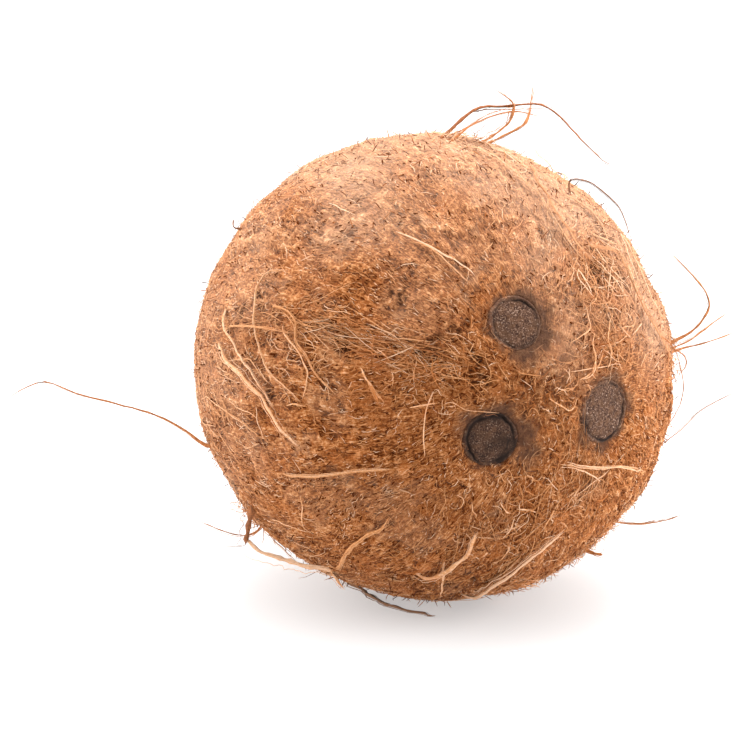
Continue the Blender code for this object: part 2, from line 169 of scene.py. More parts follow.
EYE_RINGS, EYE_SPOKES = 38, 140
EYE_LIP = 1.7  # how far each eye's own surface reaches past its groove
# Where each groove is deep, in degrees round its eye from the east, anticlockwise
GROOVES_DEEP_AT = ((-6, -146), (-92, 113), (-66, -156))
GROOVE_WIDTH, GROOVE_DEPTH = 0.27, 0.45
INNER_RING_GAP, INNER_RING_WIDTH, INNER_RING_DEPTH = 1.3, 0.25, 0.15
RIM_STAIN = 0.3
PLATE_DOME = 0.3
PLATE_DARKNESS = (0.0, 0.5, -0.05)  # how much darker each eye is than the first

# ---- the coarse strands, as in the solid

ROOT_DEPTH = 2.2
THINNEST = 0.6
SCATTERED_STRANDS = 90
STRAND_SEED = 11
STRAND_CLEARANCE = 5.0
PLACED_SIDE, PLACED_SIDE_REACH = (25.0, 164.0), math.radians(90.0)
FLOOR_CLEARANCE = 3.0

# name, root and tip thickness, route of (colatitude, longitude, lift)
STANDING = [
    ("long whisker", 1.0, 0.6, [(102, 196, -2), (103, 194, 2), (105, 189, 6), (106, 185, 12),
         (107, 182, 21), (108, 180, 29), (109, 178, 36), (109, 179, 42), (109, 181, 47)]),
    ("crown arch", 1.3, 0.6, [(81, 91, -2), (80, 85, 4), (79, 81, 8), (77, 76, 10), (74, 69, 13),
         (71, 62, 11), (67, 54, 9), (66, 51, 10)]),
    ("crown arch under", 0.9, 0.6, [(77, 90, -2), (76, 85, 3), (75, 80, 7), (74, 75, 9.5), (71, 70, 11)]),
    ("crown hook", 1.2, 0.6, [(76, 83, -2), (75, 77, 4), (75, 75, 7), (76, 75, 11), (78, 79, 13)]),
    ("crown fork", 1.2, 0.6, [(79, 80, -2), (77, 74, 3.5), (76, 71, 7), (77, 70, 10), (78, 71, 17)]),
    ("shoulder loop", 0.6, 0.6, [(57.5, 57.5, -2), (58.6, 61.6, 1.3), (58.4, 62.4, 2.8), (57.6, 61.4, 4),
         (56, 58.5, 5.4), (54, 55.1, 5.7), (51.6, 50.8, 5.9), (49.2, 47.7, 5.2), (46.7, 44.5, 4.3)]),
    ("cheek hook", 1.0, 0.6, [(54, 4, -2), (56, 7, 5), (57, 10, 9), (58, 13, 11), (58, 18, 10.5),
         (60, 28, 7)]),
    ("cheek spray", 0.7, 0.6, [(53, 3, -2), (54, 5, 4), (56, 8, 10), (57, 10, 14.5)]),
    ("cheek spray low", 0.8, 0.6, [(59, 1, -2), (60, 2.5, 4.5), (60, 3.5, 10), (61, 4.5, 15)]),
    ("cheek droop", 0.7, 0.6, [(58, 4, -2), (58, 1, 2.5), (58, 358, 3), (57.5, 355, 1.2)]),
    ("jaw whisker", 0.6, 0.6, [(53, 331, -2), (53, 340, 3), (54, 347, 7.5), (55, 352, 14.5)]),
    ("chin whisker", 0.7, 0.6, [(61, 309, -2), (61.5, 314, 4), (61.5, 318, 8), (61, 322, 11.5)]),
    ("chin stub", 1.2, 1.0, [(59, 297, -2), (59, 299, 1.5), (59, 301, 3.5)]),
    ("brow knot", 1.1, 0.8, [(103, 138, -2), (103, 140, 1.5), (102.5, 138.5, 3)]),
    ("heel stalk", 2.0, 1.6, [(92.5, 210, -2), (91, 210.8, 0.8), (91.1, 212, 2.4), (91.1, 213.9, 4.8),
         (91, 215.8, 7)]),
    ("heel ribbon", 1.2, 2.2, [(91, 215, 6), (89.5, 218.2, 5.9), (87.8, 221, 4.8), (85.7, 224.5, 3.4),
         (83.5, 228, 2.2), (81.5, 231, 0.8), (79.3, 234.4, -1)]),
    ("heel ribbon tip", 1.4, 0.8, [(80.5, 231, -1), (79.5, 232.4, 1.1), (78.4, 232.8, 1.7),
         (77.2, 233.7, 2.8), (76.8, 235.5, 3.8)]),
    ("heel whisker", 0.6, 0.6, [(98, 218, -2), (102, 219, 4), (104, 215, 8), (106, 211, 11)]),
    ("floor cord", 1.2, 0.7, [(99, 242, -2), (100, 246, 0.7), (98.5, 250, 1.6), (93.5, 251, 2.2),
         (87.5, 252.5, 2.7), (83, 254.5, 3.0), (79.5, 257.5, 3.3), (75.5, 260, 4.2)]),
]
LYING = [
    ("temple long", 1.3, 0.9, [(93, 167, -2), (82, 171, 1.4), (75, 174, 1.6), (68, 179, 1.6),
         (63, 186, 1.6), (59, 192, 1.8)]),
    ("temple middle", 1.2, 0.8, [(90, 156, -2), (83, 163, 1.4), (77, 168, 1.6), (71, 173, 1.6),
         (64, 182, 1.4)]),
    ("temple inner", 0.9, 0.7, [(66, 146, -2), (73, 150, 1.3), (73, 157, 1.4), (69, 166, 1.6),
         (64, 173, 1.8), (56, 180, 1.4)]),
    ("temple cross", 0.8, 0.6, [(73, 158, -2), (65, 157, 1.4), (60, 159, 1.6), (57, 165, 1.8),
         (52, 172, 1.6), (47, 178, 1.4)]),
    ("temple bow", 0.7, 0.6, [(67, 157, -2), (62, 163, 1.2), (58, 166, 1.4), (54.5, 172, 1.6),
         (56, 180, 1.4)]),
    ("seam thread", 0.7, 0.6, [(94, 166, -2), (80, 164, 1.2), (70, 163, 2.4), (60, 163, 1.2)]),
    ("husk chip", 1.5, 1.2, [(42, 169, -1.5), (39, 175, 1.3), (37.5, 180, 1.4)]),
    ("level stick", 1.0, 0.8, [(77, 199.5, -2), (62, 200, 1.2), (54, 201, 1.3), (46, 202, 1.3),
         (39, 204.5, 1.4)]),
    ("plumb thread", 0.6, 0.6, [(25, 172, -2), (27, 181, 1.2), (29, 193, 1.2), (31, 205, 1.4)]),
    ("eye lash", 0.6, 0.6, [(25, 184, -2), (22, 182, 1.4), (18.5, 189, 1.6), (12.5, 198, 1.4)]),
    ("cheek rib", 1.4, 1.0, [(80, 233.3, -2), (72.5, 229.5, 1.5), (62.4, 224.3, 1.6), (58.1, 223, 1.6),
         (53, 221.9, 1.6), (49.7, 222.1, 1.6), (46.1, 219.8, 1.3)]),
    ("chin ribbon", 1.8, 0.9, [(61, 242, -2), (56, 246, 1.6), (50, 248, 1.8), (43, 249, 1.8),
         (36.5, 246, 1.4)]),
    ("chin ribbon prong", 0.9, 0.7, [(50, 246, -1), (54, 249, 1.3), (60, 253, 1.4), (66, 256, 1.2)]),
    ("chin strap", 1.5, 0.9, [(71, 262, -2), (64, 265, 1.6), (55, 266, 1.8), (46, 270, 1.8),
         (40, 276, 1.6), (36.5, 283, 1.4)]),
    ("jaw thread", 0.9, 0.6, [(47, 326, -2), (38, 321, 1.4), (30, 316, 1.4), (22, 301, 1.4),
         (17, 284, 1.3)]),
    ("brow strand", 0.9, 0.7, [(76, 88, -2), (66, 86, 1.4), (57, 81, 1.4), (46, 76, 1.5), (37, 70, 1.5),
         (32, 62, 1.3)]),
    ("brow strand upper", 1.0, 0.7, [(69, 70, -2), (60, 73, 1.3), (53, 74.5, 1.4), (45, 72, 1.5),
         (37.5, 67, 1.5), (33, 57, 1.3)]),
    ("cheek rim", 0.9, 0.7, [(38, 63, -2), (39, 53, 1.4), (41, 45, 1.6), (38, 38, 1.6), (36.5, 25, 1.5),
         (39, 13, 1.5), (47, 1, 1.3)]),
    ("cheek rim low", 0.7, 0.6, [(37, 20, -2), (45, 7, 1.6), (52, 357, 2.2), (53, 350, 2.4),
         (46, 342, 1.6), (39, 332, -1)]),
    ("crown thread", 0.6, 0.6, [(50, 126, -2), (42, 123, 1.2), (35.5, 122, 1.3), (29, 121, 1.3)]),
    ("left thread", 0.6, 0.6, [(94, 180, -2), (82, 183, 1.3), (75, 186, 1.4), (69.5, 190, 1.3)]),
]

# How the strands look: tone, share of the solid's thickness, how kinked, frayed and dusty they are
STRAND_LOOKS = {
    "standing": (0.35, 0.8, 0.25, 0.6, 0.0),
    "lying": (0.7, 0.48, 0.6, 0.5, 0.0),
    "long whisker": (0.3, 0.95, 0.2, 0.2, 0.0),
    "crown arch": (0.26, 0.9, 0.3, 1.0, 0.0),
    "crown arch under": (0.36, 0.95, 0.3, 1.0, 0.0),
    "crown hook": (0.38, 1.0, 0.3, 1.0, 0.0),
    "crown fork": (0.38, 1.0, 0.3, 1.0, 0.0),
    "shoulder loop": (0.15, 0.75, 0.1, 0.1, 0.3),
    "cheek hook": (0.4, 1.0, 0.15, 0.2, 0.1),
    "cheek spray": (0.45, 0.8, 0.2, 0.5, 0.1),
    "cheek spray low": (0.45, 0.85, 0.2, 0.6, 0.1),
    "jaw whisker": (0.3, 0.7, 0.15, 0.2, 0.3),
    "chin whisker": (0.4, 0.95, 0.3, 1.0, 0.3),
    "heel stalk": (0.14, 1.15, 0.6, 0.3, 0.3),
    "heel ribbon": (1.0, 1.1, 0.4, 0.6, 0.0),
    "heel ribbon tip": (0.9, 1.0, 0.4, 0.6, 0.0),
    "floor cord": (0.3, 1.2, 0.6, 0.25, 1.0),
    "temple long": (0.8, 0.6, 0.7, 0.2, 0.0),
    "temple middle": (0.78, 0.45, 0.7, 0.2, 0.0),
    "temple inner": (0.75, 0.45, 0.6, 0.3, 0.0),
    "seam thread": (0.72, 0.5, 0.4, 0.2, 0.0),
    "husk chip": (0.6, 0.35, 0.3, 0.9, 0.0),
    "level stick": (0.78, 0.55, 0.25, 0.15, 0.0),
    "plumb thread": (0.76, 0.45, 0.3, 0.1, 0.0),
    "eye lash": (0.85, 0.4, 0.3, 0.1, 0.0),
    "jaw thread": (0.8, 0.48, 0.4, 0.6, 0.0),
    "cheek rib": (0.7, 0.6, 0.5, 0.2, 0.0),
    "chin ribbon": (0.84, 0.72, 0.5, 0.5, 0.0),
    "chin ribbon prong": (0.84, 0.6, 0.4, 0.3, 0.0),
    "chin strap": (0.9, 0.75, 0.4, 0.7, 0.0),
    "cheek rim": (0.42, 0.7, 0.15, 0.3, 0.0),
    "cheek rim low": (0.3, 0.5, 0.15, 0.2, 0.0),
}
SPLITS = 4  # thin fibres that part from each coarse strand
STRAND_STEPS = 30

# ---- fine fibres placed one by one

FINE_STEPS = 18

# Single fibres that lie on the mat: thickness, tone, places
FINE_THREADS = [
    (0.42, 0.8, (50, 125), (43.8, 122.7), (38.7, 120.7), (34.5, 118), (29.9, 116)),
    (0.32, 0.8, (103, 183.2), (95, 181.8), (83.6, 184.1), (73.7, 188.4)),
    (0.26, 0.8, (85.2, 180.2), (77.6, 182.5), (73, 183.2), (70.1, 184.8)),
    (0.3, 0.8, (84.4, 171.2), (80.5, 171.6), (72.8, 170.8), (68.9, 173.8), (66, 176.1)),
    (0.34, 0.8, (60.6, 180.9), (58, 180.8), (55.9, 181.3)),
    (0.4, 0.8, (31.5, 182.8), (27.9, 182.4), (25.4, 181.9)),
    (0.26, 0.8, (39, 162), (37.3, 163.2), (35.9, 165)),
    (0.34, 0.8, (64.6, 205.2), (66.6, 209.4), (70.8, 214.5), (70.8, 218.3)),
    (0.34, 0.8, (82.4, 212.2), (76.2, 214.2), (71.6, 217.1)),
    (0.3, 0.8, (22.3, 56.8), (19.8, 51.1), (16.9, 45.4), (13.7, 50.4), (11.5, 56)),
    (0.3, 0.8, (36, 56.5), (34, 48.4), (33.9, 41), (33.3, 31.1)),
    (0.3, 0.8, (29.9, 61.9), (27.5, 62.8), (25.8, 58), (24.8, 51.2)),
    (0.26, 0.8, (14.3, 23.2), (12.1, 11.4), (9, 8.9)),
    (0.26, 0.8, (9.8, 7.6), (10.5, 358.1), (11.5, 352)),
    (0.3, 0.8, (2, 259.5), (4.3, 302.5), (7.2, 315.4), (8.1, 340.6)),
    (0.26, 0.8, (28.1, 223.2), (26.7, 225.5), (25.5, 229.3)),
    (0.34, 0.8, (16.9, 278), (20, 292.6), (25.6, 307.8), (33.5, 318.8), (46.2, 324.4)),
    (0.3, 0.8, (18.2, 281.1), (21.7, 295.6), (26.7, 302.4), (29.1, 304.9)),
    (0.26, 0.8, (28.9, 313.7), (27.2, 299.4), (28.4, 287.8)),
    (0.26, 0.8, (27.5, 309), (29.4, 299.6), (29.7, 290)),
    (0.4, 0.8, (26.8, 280.8), (30.6, 275.3), (35.9, 272.7)),
    (0.34, 0.8, (30.7, 259.3), (34.4, 258.9), (37.1, 258.3)),
    (0.3, 0.8, (27.3, 248.1), (29, 252.2), (29.8, 256)),
    (0.4, 0.8, (28.4, 258), (28.2, 263.1), (28.8, 267.5)),
    (0.36, 0.8, (38.6, 262.6), (41.8, 263), (44.2, 262.2), (46.9, 261)),
    (0.3, 0.8, (48.8, 280.3), (49.1, 284.4), (45.3, 286.7)),
    (0.44, 0.8, (79.7, 81.4), (71.2, 80.2), (65.6, 77.6), (60.6, 73)),
    (0.44, 0.8, (56, 43), (49, 37.8), (45.9, 26.1), (48, 14.2)),
    (0.3, 0.8, (55.8, 42.2), (47.6, 41.1), (43.5, 31.8)),
    (0.4, 0.8, (42.6, 57.9), (43.3, 51.7), (46, 44.2)),
    (0.36, 0.8, (39.4, 57.3), (37, 51.3), (35.8, 45.6), (36.2, 38.2), (35.5, 31.6)),
    (0.3, 0.8, (32.1, 61.1), (28.7, 54.7), (25.7, 50.4)),
    (0.3, 0.8, (44.1, 47.6), (38.6, 45.9), (32.4, 45.4), (27, 42.7)),
    (0.26, 0.8, (69.6, 128.2), (64.2, 128.1), (60.8, 127.5)),
    (0.26, 0.8, (70.6, 181.5), (70.2, 185.3), (70.8, 189.8)),
    (0.5, 0.45, (60.3, 69.1), (54.6, 64.1), (53.5, 60.6), (52.5, 57.1), (49.4, 53.2), (45.8, 49.5),
     (41.5, 46.2)),
    (0.34, 0.8, (17.6, 39.6), (14.8, 32.7), (13.7, 23.4), (12, 12.5), (12.9, 3.6)),
    (0.3, 0.8, (25.6, 35.4), (22.6, 34), (19.5, 28.8), (18.9, 18.5), (16.8, 8.2)),
    (0.3, 0.8, (12, 12.4), (10, 11.9), (8.3, 9.4)),
    (0.26, 0.7, (16.2, 20.7), (13.9, 16.2), (12, 11.6)),
    (0.26, 0.7, (28.4, 19.1), (31.7, 20.3), (34.5, 19.6)),
    (0.34, 0.8, (34.6, 57), (33.3, 52.9), (33.4, 47.8), (34.7, 43.4)),
    (0.4, 0.85, (29.4, 62.6), (28.5, 60.5), (27, 57.2), (25.4, 53)),
    (0.4, 0.6, (42.3, 168.5), (39.4, 174.3), (37.7, 179.2)),
    (0.36, 0.75, (41.8, 170), (38.6, 175.8), (36.8, 180.6)),
    (0.2, 1.0, (14.3, 109.7), (13.7, 108.8), (13.1, 107.8)),
]

# Hairs that stand off the mat, mostly at the nut's edge: thickness, tone, places with lifts
HAIRS = [
    (0.24, 0.1, (92, 220.2, 0), (91.6, 221.4, 0.7), (90.9, 223.4, 0.9), (90.1, 225.3, 1.1),
     (90.4, 225.3, 2.2)),
    (0.24, 0.1, (92.5, 236, -0.5), (93.6, 235, 1.1), (94, 234.3, 2.3), (94.4, 233.5, 3.6),
     (95, 232.4, 4.7)),
    (0.24, 0.1, (113.5, 151, -0.5), (113.7, 152, 0.9), (113.8, 153.1, 1.5), (113.9, 154.5, 1.6),
     (114, 156.1, 1.4)),
    (0.24, 0.1, (90.3, 90.4, -0.3), (90.1, 89.7, 1.2), (89.9, 88.9, 2.4), (89.7, 88.4, 3.1)),
    (0.24, 0.1, (83.5, 78.6, -0.5), (83.5, 78, 2.2), (83.3, 77.1, 3.4), (83.2, 76.6, 4.5)),
    (0.24, 0.1, (92.1, 93.6, -0.3), (92, 93, 0.9), (92.1, 93.1, 1.6)),
    (0.24, 0.1, (60.3, 51.2, -0.3), (59.7, 49.2, 0.8), (58.9, 47, 1.0)),
    (0.24, 0.1, (52.8, 27.5, -0.3), (52.8, 26.6, 0.5), (52.7, 25.2, 1.0), (52.8, 24.3, 1.9)),
    (0.24, 0.1, (66, 300, -0.5), (64.1, 302.4, 2.5), (63.8, 303.8, 2.3), (63.6, 304.3, 1.5)),
    (0.24, 0.1, (72, 278, -0.3), (70.9, 280, 0.8), (70.1, 282, 0.9), (69.6, 283.7, 1.6)),
    (0.24, 0.1, (54.4, 357.5, -0.3), (54.3, 353, 0.9), (52, 350.6, 0.8), (47, 348.8, 0.6)),
    (0.24, 0.1, (58.3, 353, -0.3), (58.3, 353.8, 0.7), (58.5, 356, 1.5), (58.8, 358.7, 2.1),
     (59, 1.5, 1.6)),
    (0.24, 0.1, (91.2, 213.5, 4.5), (91, 215.8, 7), (91.6, 214.5, 9.5), (92.2, 212.5, 12.5)),
    (0.24, 0.1, (95.8, 204.8, -0.3), (94.8, 208.3, 0.9), (94, 211, 1.3)),
    (0.24, 0.1, (51.5, 53.3, 0.3), (49.8, 49.9, 1.1), (48.3, 46.7, 2.3), (47.1, 44.5, 3.3),
     (45.9, 42.6, 3.9)),
    (0.24, 0.1, (46.7, 44.5, 4.3), (45.9, 42.6, 3.9), (45.4, 41.6, 3.2)),
    (0.24, 0.1, (66.7, 53.4, 8.7), (66.2, 52.1, 9.1), (65.9, 50.9, 9.7), (65.8, 50.2, 10.1)),
    (0.45, 0.4, (79.6, 87.8, 0.5), (78.5, 84.1, 2.6), (78.1, 82.3, 4.2), (77.4, 79, 7.4),
     (76.6, 76.6, 8.8)),
    (0.4, 0.4, (79.4, 82.5, 6.6), (78.4, 79.2, 8.0), (77, 75.6, 9.1), (75, 71, 11.3), (73.8, 68.4, 12.8)),
    (0.24, 0.1, (82.1, 79.7, 0.6), (82.1, 79.2, 1.8), (81.7, 78, 3), (81.7, 77.3, 4.6)),
]

# ---- colours and patterns

COIR_STOPS = [(0.0, "#52250D"), (0.28, "#8C4B1F"), (0.55, "#BC7642"), (0.8, "#D89A68"), (1.0, "#EBBE9B")]
SHELL_STOPS = [(0.36, "#2E1C14"), (0.5, "#503527"), (0.62, "#765846"), (0.7, "#B69B89")]
# What changes the coir's colour, in order: its name, its greatest share and the colour it brings
# The third change is a painted highlight where most light falls, the fourth painted shade in the hollows.
COIR_CHANGES = [("rusty", 0.35, "#C8743A"), ("dusty", 0.5, "#AE9076"), ("painted_highlight", 0.42, "#F0CAAC"),
                ("deep", 0.65, "#4A240E"), ("bare", 0.84, "#5E4437")]
PITH_GRAIN = 0.6  # crumbs of pith between the fibres
FIBRE_STREAK = 0.5  # fibres side by side; the real ones are half as wide, too fine to show
PIT, ROUGH_PATCH, RUSTY_PATCH = 1.3, 9.0, 7.0
SHELL_GRAIN, WORN_PATCH = 0.32, 1.8  # the sanded look of bare shell, and where it is worn smooth
# Painted highlight: the coir turns paler towards the top and the left flank, where most light falls.
PAINTED_HIGHLIGHT_SIDE, PAINTED_HIGHLIGHT_FLANK = (0.35, 0.05, 0.9), (-0.9, 0.4, 0.2)  # the ways to the coir's palest parts

SMOOTH = {"interpolation_type": "SMOOTHSTEP"}

# ---- the view and the studio

LENS = 120.0
CAMERA_AZIMUTH, CAMERA_ELEVATION = math.radians(-24.5), math.radians(14.0)
CAMERA_DISTANCE = 595.0
AIM_ASIDE = 16.0  # how far left of the nut's middle the camera aims
FLOOR_SIZE = 6.0  # metres
BRIGHT_SIDE = (0.2, 0.73, 0.65)  # the way from the nut to the brightest part of the studio
# Each lamp's place in metres, power in watts and size in metres
LAMPS = {
    "left": ((-0.88, 0.35, 0.45), 5.5, 0.6),
    "top": ((0.2, 0.3, 1.0), 9.0, 0.9),
    "right": ((0.85, -0.5, 0.35), 11.0, 0.6),
}


# ==== the nut's surface


def unit(vectors):
    """The vectors at length 1."""
    return vectors / (np.linalg.norm(vectors, axis=-1, keepdims=True) + 1e-9)


def directions(colatitude, longitude):
    """Unit vectors out through places given in degrees."""
    colatitude, longitude = np.radians(colatitude), np.radians(longitude)
    across = np.sin(colatitude)
    return np.stack([across * np.cos(longitude), across * np.sin(longitude), np.cos(colatitude)], -1)


EYE_DIRECTIONS = directions(*EYE_PLACES.T)
DOWNWARDS = np.array([0.0, -math.cos(AXIS_TILT), -math.sin(AXIS_TILT)])
NUT_TURN = np.array(Matrix.Rotation(math.pi / 2 - AXIS_TILT, 3, "X"))


def angles(units):
    """The colatitude and longitude of each unit vector, in radians."""
    return np.arccos(np.clip(units[..., 2], -1, 1)), np.arctan2(units[..., 1], units[..., 0])


def off_axis(units):
    """How far each unit vector is from the nut's axis, 0 to 1."""
    return np.sqrt(np.clip(1 - units[..., 2] ** 2, 0, 1))


def gap_to(units, target):
    """The distance over the surface from each place to one target."""
    return np.arccos(np.clip(units @ target, -1, 1)) * EQUATOR_RADIUS


def beyond_eye(units):
    """How far each place is outside the nearest eye's groove, and negative inside it."""
    return np.min([gap_to(units, eye) - radius for eye, radius in zip(EYE_DIRECTIONS, EYE_RADII)], axis=0)


def clear_of_rest(units):
    """0 at the middle of the resting spot and 1 well away from it."""
    return 1 - np.exp(-((gap_to(units, DOWNWARDS) / EQUATOR_RADIUS / REST_FADE) ** 2))


def ease(low, high, value):
    """A smooth step from 0 at low to 1 at high."""
    t = np.clip((value - low) / (high - low), 0, 1)
    return t * t * (3 - 2 * t)


def cloud(points, offset=0.0):
    """Smooth noise, about -0.5 to 0.5, with lumps one unit across."""
    flat = (np.asarray(points) + offset).reshape(-1, 3).tolist()
    return np.array([noise.noise(p) for p in flat]).reshape(np.shape(points)[:-1])


def sway(points, size, offset=0.0, apart=20.0):
    """A smooth shift along each axis at each point, which turns about once in a size."""
    return np.stack([cloud(points / size, offset + apart * axis) for axis in range(3)], -1)


def streaks(units, around, along, offset=0.0):
    """Noise drawn out from end to end, with so many cells to the radius around and to the radian along."""
    colatitude, longitude = angles(units)
    cells = [around * np.cos(longitude), around * np.sin(longitude), along * colatitude]
    return cloud(np.stack(cells, -1), offset)


def nut_radius(units):
    """How far the nut's smooth form reaches along each unit vector."""
    along, across, longitude = units[..., 2], off_axis(units), angles(units)[1]
    half_length = np.where(along > 0, EYE_END_LENGTH, FAR_END_LENGTH)
    radius = 1 / np.hypot(along / half_length, across / EQUATOR_RADIUS)
    oval = OVAL_SHARE * np.cos(2 * (longitude - OVAL_LONGITUDE))
    lobes = LOBE_SHARE * np.cos(3 * (longitude - LOBE_LONGITUDE))
    radius *= 1 + across**2 * (oval + lobes)
    from_axis = EQUATOR_RADIUS * across
    seam_height = SEAM_HEIGHT * clear_of_rest(units) * (1 - np.exp(-((from_axis / (2 * SEAM_WIDTH)) ** 2)))
    for seam in SEAM_LONGITUDES:
        to_side = from_axis * ((longitude - seam + math.pi) % (2 * math.pi) - math.pi)
        radius += seam_height * np.exp(-((to_side / SEAM_WIDTH) ** 2))
    eye_gap = np.min([gap_to(units, eye) for eye in EYE_DIRECTIONS], axis=0)
    return radius - EYE_HOLLOW_DEPTH * np.exp(-((eye_gap / EYE_HOLLOW_WIDTH) ** 2))


def mat_height(units):
    """The surface that the fibres lie on: the nut with broad streaks, smooth at its eyes, ends and rest."""
    clear_of_ends = 1 - np.exp(-((off_axis(units) / END_FADE) ** 2))
    clear_of_eye = np.clip(beyond_eye(units) / EYE_FADE, 0, 1)
    relief = RELIEF_HEIGHT * streaks(units, RELIEF_STREAKS, RELIEF_RINGS)
    return nut_radius(units) + relief * clear_of_ends * clear_of_rest(units) * clear_of_eye


def lifted(places):
    """Points over the nut at places with lifts."""
    colatitude, longitude, lift = np.array(places, float).T
    units = directions(colatitude, longitude)
    return units * (nut_radius(units) + lift)[:, None]


def to_world(points):
    """Points in the nut's frame, in millimetres, as metres in the object's frame, kept off the floor."""
    placed = np.asarray(points) @ NUT_TURN.T
    placed[..., 2] = np.maximum(placed[..., 2] + CENTRE_HEIGHT, LOWEST)
    return placed * MM


# ==== wear and weather, with painted highlight and shade


def in_patches(units, patches, softness, ragged, size):
    """How deep each place is in round patches, 0 to 1. Their edges are ragged, in bits of a size."""
    place = units * EQUATOR_RADIUS
    units = unit(place + ragged * sway(place, size))
    share = np.zeros(len(units))
    for colatitude, longitude, radius in patches:
        gap = gap_to(units, directions(colatitude, longitude))
        share = np.maximum(share, 1 - ease(radius - softness, radius + softness, gap))
    return share


def bare_share(units):
    """How bare the shell is: all of it in the eyes, less and less round them."""
    place = units * EQUATOR_RADIUS
    ragged = 1.6 * cloud(place / 2.2) + 1.2 * cloud(place / 0.8)
    by_eye = 1 - ease(0.1, 2.6, beyond_eye(units) + ragged)
    return np.maximum(by_eye, in_patches(units, SMUDGES, 2.0, 1.8, 1.6))


def weathering_and_painted_light(units):
    """Bare shell, grey dust, a painted highlight up top and on the left, and hollows with painted shade,
    each 0 to 1.
    """
    place = units * EQUATOR_RADIUS
    film = 0.3 * ease(0.16, 0.42, cloud(place / 15.0) + 0.3 * cloud(place / 4.0))
    patches = 0.5 * in_patches(units, GREY_PATCHES, 3.0, 5.0, 3.5) * ease(-0.25, 0.25, cloud(place / 2.2))
    # Painted shade: the hollows are darkened as well as sunk, some under strands and some along the
    # underside near the floor.
    hollows = in_patches(units, HOLLOWS_WITH_PAINTED_SHADE, 1.6, 2.5, 1.5) * ease(-0.2, 0.25, cloud(place / 1.1, 50.0))
    world = to_world(place) / MM
    # Painted highlight: paler coir towards the top and, more faintly, the left flank, where the most light
    # falls.
    upper = world @ PAINTED_HIGHLIGHT_SIDE + 26 * cloud(place / 18.0)
    flank = world @ PAINTED_HIGHLIGHT_FLANK + 14 * cloud(place / 9.0)
    painted_highlight = np.maximum(ease(48, 118, upper), 0.4 * ease(42, 68, flank))
    return {"bare": bare_share(units), "dusty": np.maximum(film, patches), "painted_highlight": painted_highlight, "deep": hollows}


# ==== meshes


def add_mesh(name, vertices, faces, material, paint, normals=None):
    """Adds a piece from points in the nut's frame, with named values on them, that rides with the nut."""
    mesh = bpy.data.meshes.new(name)
    mesh.from_pydata(to_world(vertices).tolist(), [], faces)
    for key, values in paint.items():
        values = np.asarray(values, np.float32)
        kind, field = ("FLOAT", "value") if values.ndim == 1 else ("FLOAT_VECTOR", "vector")
        mesh.attributes.new(key, kind, "POINT").data.foreach_set(field, values.ravel())
    mesh.materials.append(material)
    mesh.shade_smooth()
    if normals is not None:
        mesh.normals_split_custom_set_from_vertices((normals @ NUT_TURN.T).tolist())
    piece = bpy.data.objects.new(name, mesh)
    bpy.context.scene.collection.objects.link(piece)
    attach(piece, "root")
    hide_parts("coconut")


def fibre_faces(count, steps, sides):
    """Faces of spindles with a point at each end and rings between, and how many vertices each one has."""
    rings = steps - 2
    last = 1 + rings * sides
    one = []
    for j in range(sides):
        k = (j + 1) % sides
        one.append((0, 1 + j, 1 + k))
        for ring in range(rings - 1):
            a = 1 + ring * sides
            one.append((a + j, a + sides + j, a + sides + k, a + k))
        a = last - sides
        one.append((a + j, last, a + k))
    faces = []
    for size in (3, 4):
        shapes = np.array([face for face in one if len(face) == size])
        if len(shapes):
            starts = np.arange(count) * (last + 1)
            faces += (shapes[None] + starts[:, None, None]).reshape(-1, size).tolist()
    return faces, last + 1


def add_fibres(name, paths, radii, tones, material, sides=3, flatness=0.7, dust=0.0, painted_highlight_share=1.0):
    """Adds tapered fibres in one piece. paths is (fibres, steps, 3) and radii is (fibres, steps).

    dust is the least dust on each fibre, and the last argument is the share of the mat's painted highlight
    that it takes.
    """
    count, steps, _ = paths.shape
    paint = weathering_and_painted_light(unit(paths[:, steps // 2])) | {"tone": tones}
    paint["dusty"] = np.maximum(paint["dusty"], dust)
    paint["painted_highlight"] = paint["painted_highlight"] * painted_highlight_share
    tangent = unit(np.gradient(paths, axis=1))
    outward = unit(paths)
    side = unit(np.cross(tangent, outward))
    up = np.cross(side, tangent)
    vertices, normals = [paths[:, :1]], [outward[:, :1]]
    for ring in range(1, steps - 1):
        for angle in np.arange(sides) * 2 * math.pi / sides + math.pi / 2:
            reach = math.cos(angle) * side[:, ring] + flatness * math.sin(angle) * up[:, ring]
            vertices.append((paths[:, ring] + radii[:, ring, None] * reach)[:, None])
            normals.append(unit(outward[:, ring] + FIBRE_ROUNDNESS * reach)[:, None])
    vertices = np.concatenate(vertices + [paths[:, -1:]], 1).reshape(-1, 3)
    normals = np.concatenate(normals + [outward[:, -1:]], 1).reshape(-1, 3)
    faces, each = fibre_faces(count, steps, sides)
    paint = {key: np.repeat(values, each) for key, values in paint.items()}
    add_mesh(name, vertices, faces, material, paint, normals)


def taper(share, low=0.1, high=0.9, power=0.5):
    """The share of its full thickness that a fibre has along it: thin at both ends, but never a needle."""
    return np.sin(np.pi * np.clip(share, low, high)) ** power


# ==== fibres that follow the nut


def spread_directions(count, draw):
    """Directions spread evenly over the whole nut, each shaken a little."""
    i = np.arange(count)
    turn = math.pi * (3 - math.sqrt(5))
    along = 1 - 2 * (i + 0.5) / count
    across = np.sqrt(1 - along**2)
    units = np.stack([across * np.cos(i * turn), across * np.sin(i * turn), along], 1)
    return unit(units + draw.normal(0, 0.8 / math.sqrt(count), units.shape))


def grain_way(units, heading):
    """The way along the surface at an angle from the meridian."""
    pole = np.array([0.0, 0.0, 1.0])
    to_far_end = unit(units * units[..., 2:] - pole)
    to_east = unit(np.cross(pole, units))
    return np.cos(heading)[..., None] * to_far_end + np.sin(heading)[..., None] * to_east


